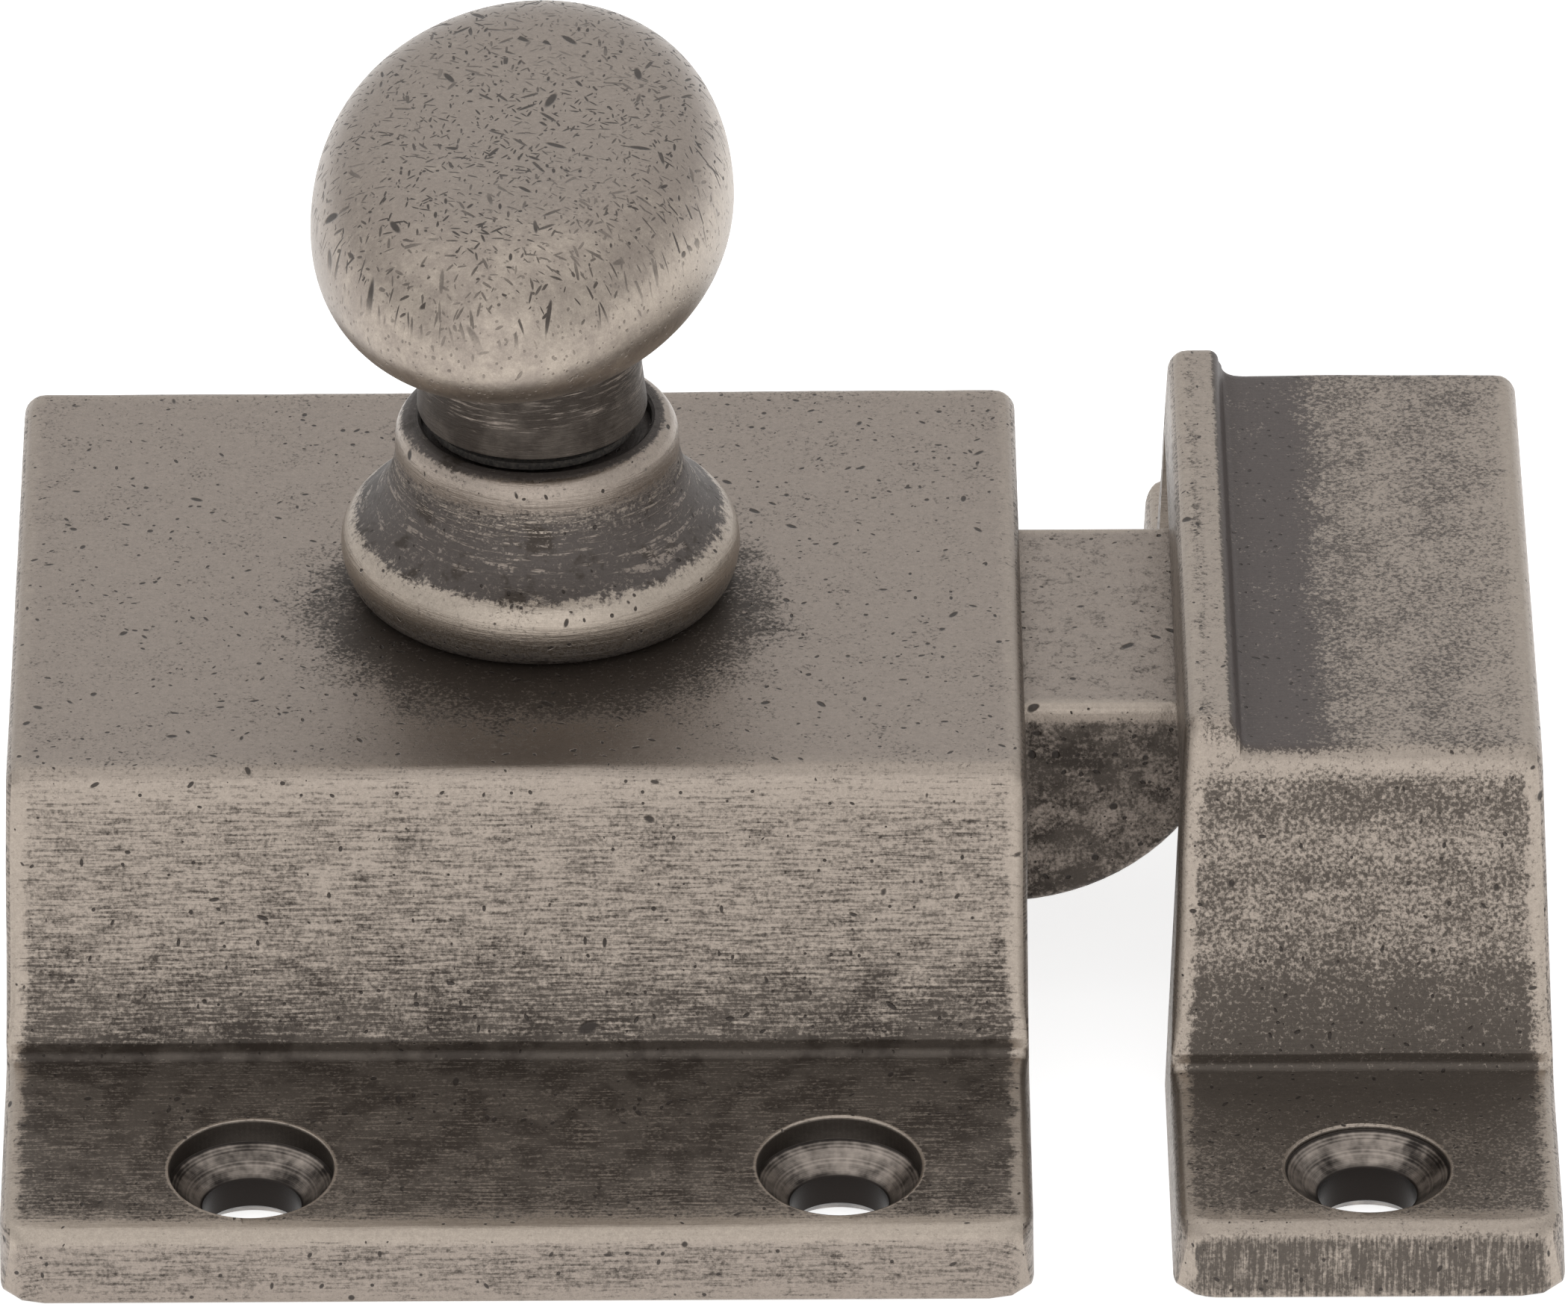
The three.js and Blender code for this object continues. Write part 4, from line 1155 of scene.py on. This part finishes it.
def strike_pewter():
    """Patina along the strike: dark beside the rib and in the coves, worn on the edges."""
    stops = [
        (-10.5, 0.42), (2.2, 0.4), (2.7, 0.1), (3.3, 0.16), (3.8, 0.6), (4.6, 0.68), (5.2, 0.5),
        (6.0, 0.46), (6.8, 0.64), (7.4, 0.52), (9.2, 0.54), (10.4, 0.78), (12.6, 0.86),
        (12.9, 0.9), (13.05, 1.0), (14.6, 1.0), (16.0, 0.86), (18.5, 0.72), (22.0, 0.72),
        (22.6, 0.2), (23.3, 0.0), (23.9, 0.7), (25.2, 0.72), (25.6, 0.25),
    ]
    film_stops = [(-10.5, 0.55), (2.2, 0.6), (2.9, 0.5), (4.0, 0.45), (25.6, 0.4)]
    left = STRIKE_LOW.x
    foot = RIB_FOOT
    across_stops = [
        (left, 0.0), (left + 0.45, 0.18), (left + 0.85, 0.62), (left + 1.2, 0.5),
        (left + 1.55, 0.12), (foot - 0.05, 0.1), (foot + 0.1, 1.0), (foot + 2.5, 1.0),
        (foot + 3.6, 0.56), (foot + 5.6, 0.4), (foot + 7.4, 0.48), (STRIKE_HIGH.x - 1.2, 0.3),
        (STRIKE_HIGH.x, 0.05),
    ]
    band_stops = [(left, 0.0), (foot, 0.0), (foot + 0.2, 1.0), (foot + 2.6, 1.0), (foot + 4.2, 0.3)]

    def extra(tree, patina, film):
        on_top = tree.math("GREATER_THAN", tree.z, STRIKE_TOP - 0.75)
        flat = on_top * tree.step(abs(tree.y), TOP_HALF - 0.05, TOP_HALF - 0.6)
        wander = tree.sway(1.4, 4, 0.7, 0.9)
        x = tree.x + wander * tree.step(tree.x, foot + 1.2, foot + 2.4)
        across = tree.profile(x, across_stops)
        band = tree.profile(x, band_stops) * flat
        deep = tree.mix(band, PATINA, BAND_PATINA)
        return tree.blend(flat, patina, across), film, deep

    size = (STRIKE_CENTRE, (STRIKE_HIGH.x - STRIKE_LOW.x) / 2, STRIKE_DRAFT)
    weights = (0.12, 0.7, 0.18)
    return casting_material("pewter_strike", stops, film_stops, size, (0, 0), extra, weights, 0.55)


def around_axis(tree):
    """Radius from the knob's axis, and the angle round it."""
    x = tree.x - AXIS_X
    return tree.length(x, tree.y), tree.math("ARCTAN2", tree.y, x)


def turned_lines(tree, radius, angle, per_mm, arc):
    """Broken scratches that run round a turned surface."""
    level = (tree.z + radius * 0.6) * per_mm
    east = tree.math("COSINE", angle) * arc
    north = tree.math("SINE", angle) * arc
    return tree.noise(tree.xyz(east, north, level), 1.0, 4, 0.75)


def rose_pewter():
    """Dark flare with broken turning scratches between pale worn beads."""
    tree = Tree("pewter_rose")
    radius, angle = around_axis(tree)
    height = tree.z - CASE_TOP + tree.sway(2.2, 4, 0.75, 0.6)
    stops = [
        (-2.0, 1.0), (0.3, 0.72), (0.9, 0.42), (1.4, 0.12), (2.2, 0.02), (2.45, 0.3),
        (2.62, 0.92), (3.4, 1.0), (4.5, 0.95), (5.0, 0.7), (5.3, 0.2), (5.6, 0.05), (6.3, 0.08),
    ]
    patina = tree.greater(tree.profile(height, stops), tree.step(radius, 4.6, 4.3))
    film = tree.step(height, 2.4, 2.8) * tree.step(height, 4.6, 4.2)
    film = tree.greater(film, tree.step(height, 4.6, 5.2) * 0.7)
    lines = turned_lines(tree, radius, angle, 9.0, 2.2)
    fine = tree.grain(6.5, 3, 0.7)
    patches = tree.grain(0.55, 4, 0.7)
    field = lines * 0.3 + fine * 0.5 + patches * 0.2
    dark = speckled(tree, patina, field, 8.5, 2.0)
    upper = tree.step(height, 2.6, 4.6) * 0.05 + patches * 0.12
    scratch = tree.step(lines + upper, 0.62, 0.68) * tree.step(fine, 0.4, 0.54)
    scratch = scratch * tree.step(height, 5.9, 5.2)
    dark = dark * (1 - scratch * 0.8)
    small = tree.dashes(tree.point, 0.42, 0.18, 0.07, 0.35, 2.0)
    large = tree.dashes(tree.point, 1.6, 0.4, 0.14, 0.3, 5.0)
    deep = tree.mix(tree.step(patches, 0.52, 0.62), ROSE_PATINA, BROWN_PATINA)
    return pewter(tree, dark, tree.greater(small, large), film, lines * 2.5, deep, shine=0.04)


def knob_pewter():
    """Filmed crown with many short dark marks, pale at the front and at the right rim from wear and
    a painted highlight, and a turned neck.
    """
    tree = Tree("pewter_knob")
    radius, angle = around_axis(tree)
    neck = tree.step(tree.z, NECK_TOP + 0.7, NECK_TOP + 0.3)
    cloud = tree.grain(0.45, 4, 0.65)
    # The front, and the rim most of all on the right, are painted paler: partly wear, partly a
    # painted highlight and reflection of the studio light.
    rim = tree.step(tree.z, HEAD_RIM_Z + 3.2, HEAD_RIM_Z + 0.8)
    front = tree.step(tree.y, -2.0, -10.5)
    right = tree.step(tree.x, 2.5, 7.0)
    worn = rim * 0.1 + (front * 0.45 + rim * right * 0.8)
    worn = worn + (cloud - 0.5) + tree.sway(1.7, 4, 0.7, 1.8)
    film = 1 - tree.step(worn, 0.1, 1.0)
    crown = tree.step(tree.z, HEAD_RIM_Z + 0.7, HEAD_RIM_Z + 1.6)
    level_point = tree.xyz(tree.x, tree.y, 0.0)
    small = tree.dashes(level_point, 0.36, 0.22, 0.042, 0.4, 1.0, level=1)
    second = tree.dashes(level_point, 0.4, 0.2, 0.038, 0.4, 3.0, level=1)
    medium = tree.dashes(level_point, 0.8, 0.4, 0.07, 0.42, 4.0, level=1)
    large = tree.dashes(level_point, 2.4, 0.5, 0.14, 0.3, 9.0, level=1)
    rounded = tree.dashes(tree.point, 0.4, 0.24, 0.06, 0.6, 2.0)
    tiny = tree.dashes(tree.point, 0.2, 0.07, 0.05, 0.6, 6.0)
    crowd = tree.step(tree.grain(0.35, 3, 0.6), 0.3, 0.6)
    marks = tree.greater(small, second, medium) * (crowd * 0.6 + 0.4)
    marks = tree.greater(marks, large) * crown
    marks = tree.greater(marks, rounded * (1 - rim * 0.6), tiny * 0.45)
    lines = turned_lines(tree, radius, angle, 10.0, 2.6)
    smooth_foot = tree.step(tree.z, KNOB_LOW.z + 1.3, KNOB_LOW.z + 0.9)
    coating = tree.blend(smooth_foot, 0.8, 1.15)
    dark = speckled(tree, coating, lines, 6.5, 2.0) * neck
    deep = tree.mix(tree.step(cloud, 0.42, 0.6), PATINA, BROWN_PATINA)
    relief = lines * neck * 4.0 + cloud * 2.0
    return pewter(tree, dark, marks * (1 - neck), film, relief, deep, shine=0.02)


def bolt_pewter():
    """Filmed grey with dark flecks, much darker on its sides (patina and painted shade), pale along
    its upper edges (wear and a painted highlight).
    """
    tree = Tree("pewter_bolt")
    # The side faces carry much more patina: partly patina, partly painted shade where the bolt sits
    # between the case and the strike.
    side = tree.step(abs(tree.y), NOSE_HALF - 0.2, NOSE_HALF - 0.05)
    # Paler along the upper edges: partly wear, partly a painted highlight.
    edge = tree.step(tree.z, BOLT_HIGH.z - 0.75, BOLT_HIGH.z - 0.35)
    edge = edge * tree.step(abs(tree.y), NOSE_HALF - 0.7, NOSE_HALF - 0.25)
    mottle = tree.step(tree.grain(0.5, 3, 0.6), 0.35, 0.65)
    patina = tree.blend(side, 0.22, tree.blend(mottle, 0.42, 0.78)) * (1 - edge)
    coarse = tree.grain(1.5, 4, 0.65)
    field = tree.grain(6.5, 4, 0.7) * 0.6 + coarse * 0.4
    dark = speckled(tree, patina, field, 6.5, 2.0)
    small = tree.dashes(tree.point, 0.34, 0.16, 0.07, 0.5, 2.0)
    large = tree.dashes(tree.point, 1.0, 0.3, 0.13, 0.35, 8.0)
    film = 1 - edge * 0.6
    deep = patches_of_brown(tree)
    return pewter(tree, dark, tree.greater(small, large), film, coarse * 4.0, deep)


def plated_steel(name, color, roughness, lines_per_mm=6.0, stretch=(1.0, 1.0, 1.0)):
    """Zinc-plated or bright steel with drawn grain and soft clouds of dullness."""
    tree = Tree(name)
    along = tree.vector("MULTIPLY", tree.point, stretch)
    grain = tree.noise(along, lines_per_mm, 3, 0.7)
    cloud = tree.grain(0.8, 3, 0.6)
    dull = tuple(0.6 * c for c in color)
    mixed = tree.mix(tree.step(cloud + grain * 0.2, 0.4, 0.8), dull, color)
    rough = grain * 0.25 + roughness
    return tree.finish(mixed, 1.0, rough, grain, 0.02)


def fibre():
    """Dark pressed fibre of the knob's washer."""
    tree = Tree("fibre_washer")
    threads = tree.grain(7, 4, 0.7)
    color = tree.mix(tree.step(threads, 0.35, 0.7), (0.02, 0.017, 0.015), (0.07, 0.06, 0.05))
    return tree.finish(color, 0.0, threads * 0.2 + 0.7, threads, 0.05)


# Assembly ---------------------------------------------------------------------------------------

noise.seed_set(WAVE_SEED)
finished(make_case(), "case", ["case"], case_pewter())
finished(make_strike(), "case", ["strike"], strike_pewter())
finished(make_rose(), "case", ["rose"], rose_pewter(), weighted=False)
finished(make_knob(), "knob", ["knob"], knob_pewter(), weighted=False)
finished(make_bolt(), "bolt", ["bolt"], bolt_pewter())

screw_steel = plated_steel("screw_steel", (0.5, 0.5, 0.49), 0.25)
turned_steel = plated_steel("turned_steel", (0.46, 0.46, 0.45), 0.25, 8.0, (1, 1, 4))
zinc_sheet = plated_steel("plate_steel", (0.55, 0.56, 0.57), 0.32, 5.0, (0.15, 1, 1))
spring_steel = plated_steel("spring_steel", (0.38, 0.39, 0.41), 0.22, 9.0)
cam_steel = plated_steel("cam_steel", (0.5, 0.48, 0.44), 0.34, 5.0, (1, 0.2, 1))
washer_steel = plated_steel("washer_steel", (0.55, 0.55, 0.54), 0.28)

spring = finished(make_spring(), "case", ["bolt_spring"], spring_steel, False)
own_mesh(spring)
finished(make_back_plate(), "case", ["back_plate"], zinc_sheet)
for node in sorted(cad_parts):
    if node.startswith("back_plate_screw"):
        finished(make_plate_screw(node), "case", [node], screw_steel)

KEPT = {
    "spindle": turned_steel,
    "spring_guide": turned_steel,
    "thrust_washer": washer_steel,
    "cam_washer": washer_steel,
    "cam": cam_steel,
    "cam_screw": screw_steel,
    "knob_washer": fibre(),
}
for node, material in KEPT.items():
    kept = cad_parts[node]
    kept.data.materials.clear()
    kept.data.materials.append(material)

# Stage ------------------------------------------------------------------------------------------

FLOOR_SIZE = 6.0
CAMERA_ELEVATION = math.radians(30.0)
CAMERA_YAW = math.radians(0.294)
CAMERA_ROLL = math.radians(-0.13)
CAMERA_DISTANCE = 0.6824
CAMERA_TARGET = Vector((0.00899, -0.00342, 0.012))
CAMERA_LENS = 464.57
SENSOR_WIDTH = 36  # millimetres, as is the lens
FLOOR_DROP = 0.02 * MM  # keeps the paper just clear of the castings' undersides
FLOOR_GLOW = 0.8  # the paper is lit until it is nearly white
WORLD_GLOW = 0.88
LIGHT_TARGET = Vector((0.01, 0, 0.01))


def make_floor():
    """White paper in the mounting plane."""
    data = bpy.data.meshes.new("floor")
    mesh = bmesh.new()
    bmesh.ops.create_grid(mesh, x_segments=1, y_segments=1, size=FLOOR_SIZE / 2)
    mesh.to_mesh(data)
    mesh.free()
    floor = bpy.data.objects.new("floor", data)
    floor.location.z = -FLOOR_DROP
    bpy.context.scene.collection.objects.link(floor)
    paper = bpy.data.materials.new("floor_paper")
    paper.use_nodes = True
    shader = paper.node_tree.nodes["Principled BSDF"]
    shader.inputs["Base Color"].default_value = (0.6, 0.6, 0.6, 1)
    shader.inputs["Roughness"].default_value = 0.9
    shader.inputs["Specular IOR Level"].default_value = 0.1
    shader.inputs["Emission Color"].default_value = (1, 1, 1, 1)
    shader.inputs["Emission Strength"].default_value = FLOOR_GLOW
    data.materials.append(paper)


def make_light(name, place, size, power):
    """A rectangular light that faces the latch."""
    data = bpy.data.lights.new(name, "AREA")
    data.shape = "RECTANGLE"
    data.size, data.size_y = size
    data.energy = power
    light = bpy.data.objects.new(name, data)
    light.location = place
    light.rotation_euler = (LIGHT_TARGET - Vector(place)).to_track_quat("-Z", "Y").to_euler()
    bpy.context.scene.collection.objects.link(light)


def make_world():
    """Even white light from all round."""
    world = bpy.data.worlds.new("studio")
    world.use_nodes = True
    background = world.node_tree.nodes["Background"]
    background.inputs["Color"].default_value = (1, 1, 1, 1)
    background.inputs["Strength"].default_value = WORLD_GLOW
    bpy.context.scene.world = world


def make_camera():
    """The photograph's camera, as solved from the latch's own corners."""
    level = math.cos(CAMERA_ELEVATION)
    forward = Vector((math.sin(CAMERA_YAW) * level, math.cos(CAMERA_YAW) * level, 0))
    forward.z = -math.sin(CAMERA_ELEVATION)
    level_right = forward.cross(Vector((0, 0, 1))).normalized()
    level_up = level_right.cross(forward)
    right = level_right * math.cos(CAMERA_ROLL) + level_up * math.sin(CAMERA_ROLL)
    up = level_up * math.cos(CAMERA_ROLL) - level_right * math.sin(CAMERA_ROLL)
    data = bpy.data.cameras.new("camera")
    data.lens = CAMERA_LENS
    data.sensor_width = SENSOR_WIDTH
    data.clip_start = 0.01
    camera = bpy.data.objects.new("camera", data)
    turn = Matrix((right, up, -forward)).transposed().to_4x4()
    place = CAMERA_TARGET - forward * CAMERA_DISTANCE
    camera.matrix_world = Matrix.Translation(place) @ turn
    bpy.context.scene.collection.objects.link(camera)
    bpy.context.scene.camera = camera


make_floor()
make_world()
make_light("softbox", (-0.1, 0.15, 0.8), (1.2, 1.0), 1.1)
make_light("front_light", (0.0, -0.6, 0.32), (0.9, 0.6), 0.95)
make_camera()
bpy.context.scene.view_settings.view_transform = "Standard"
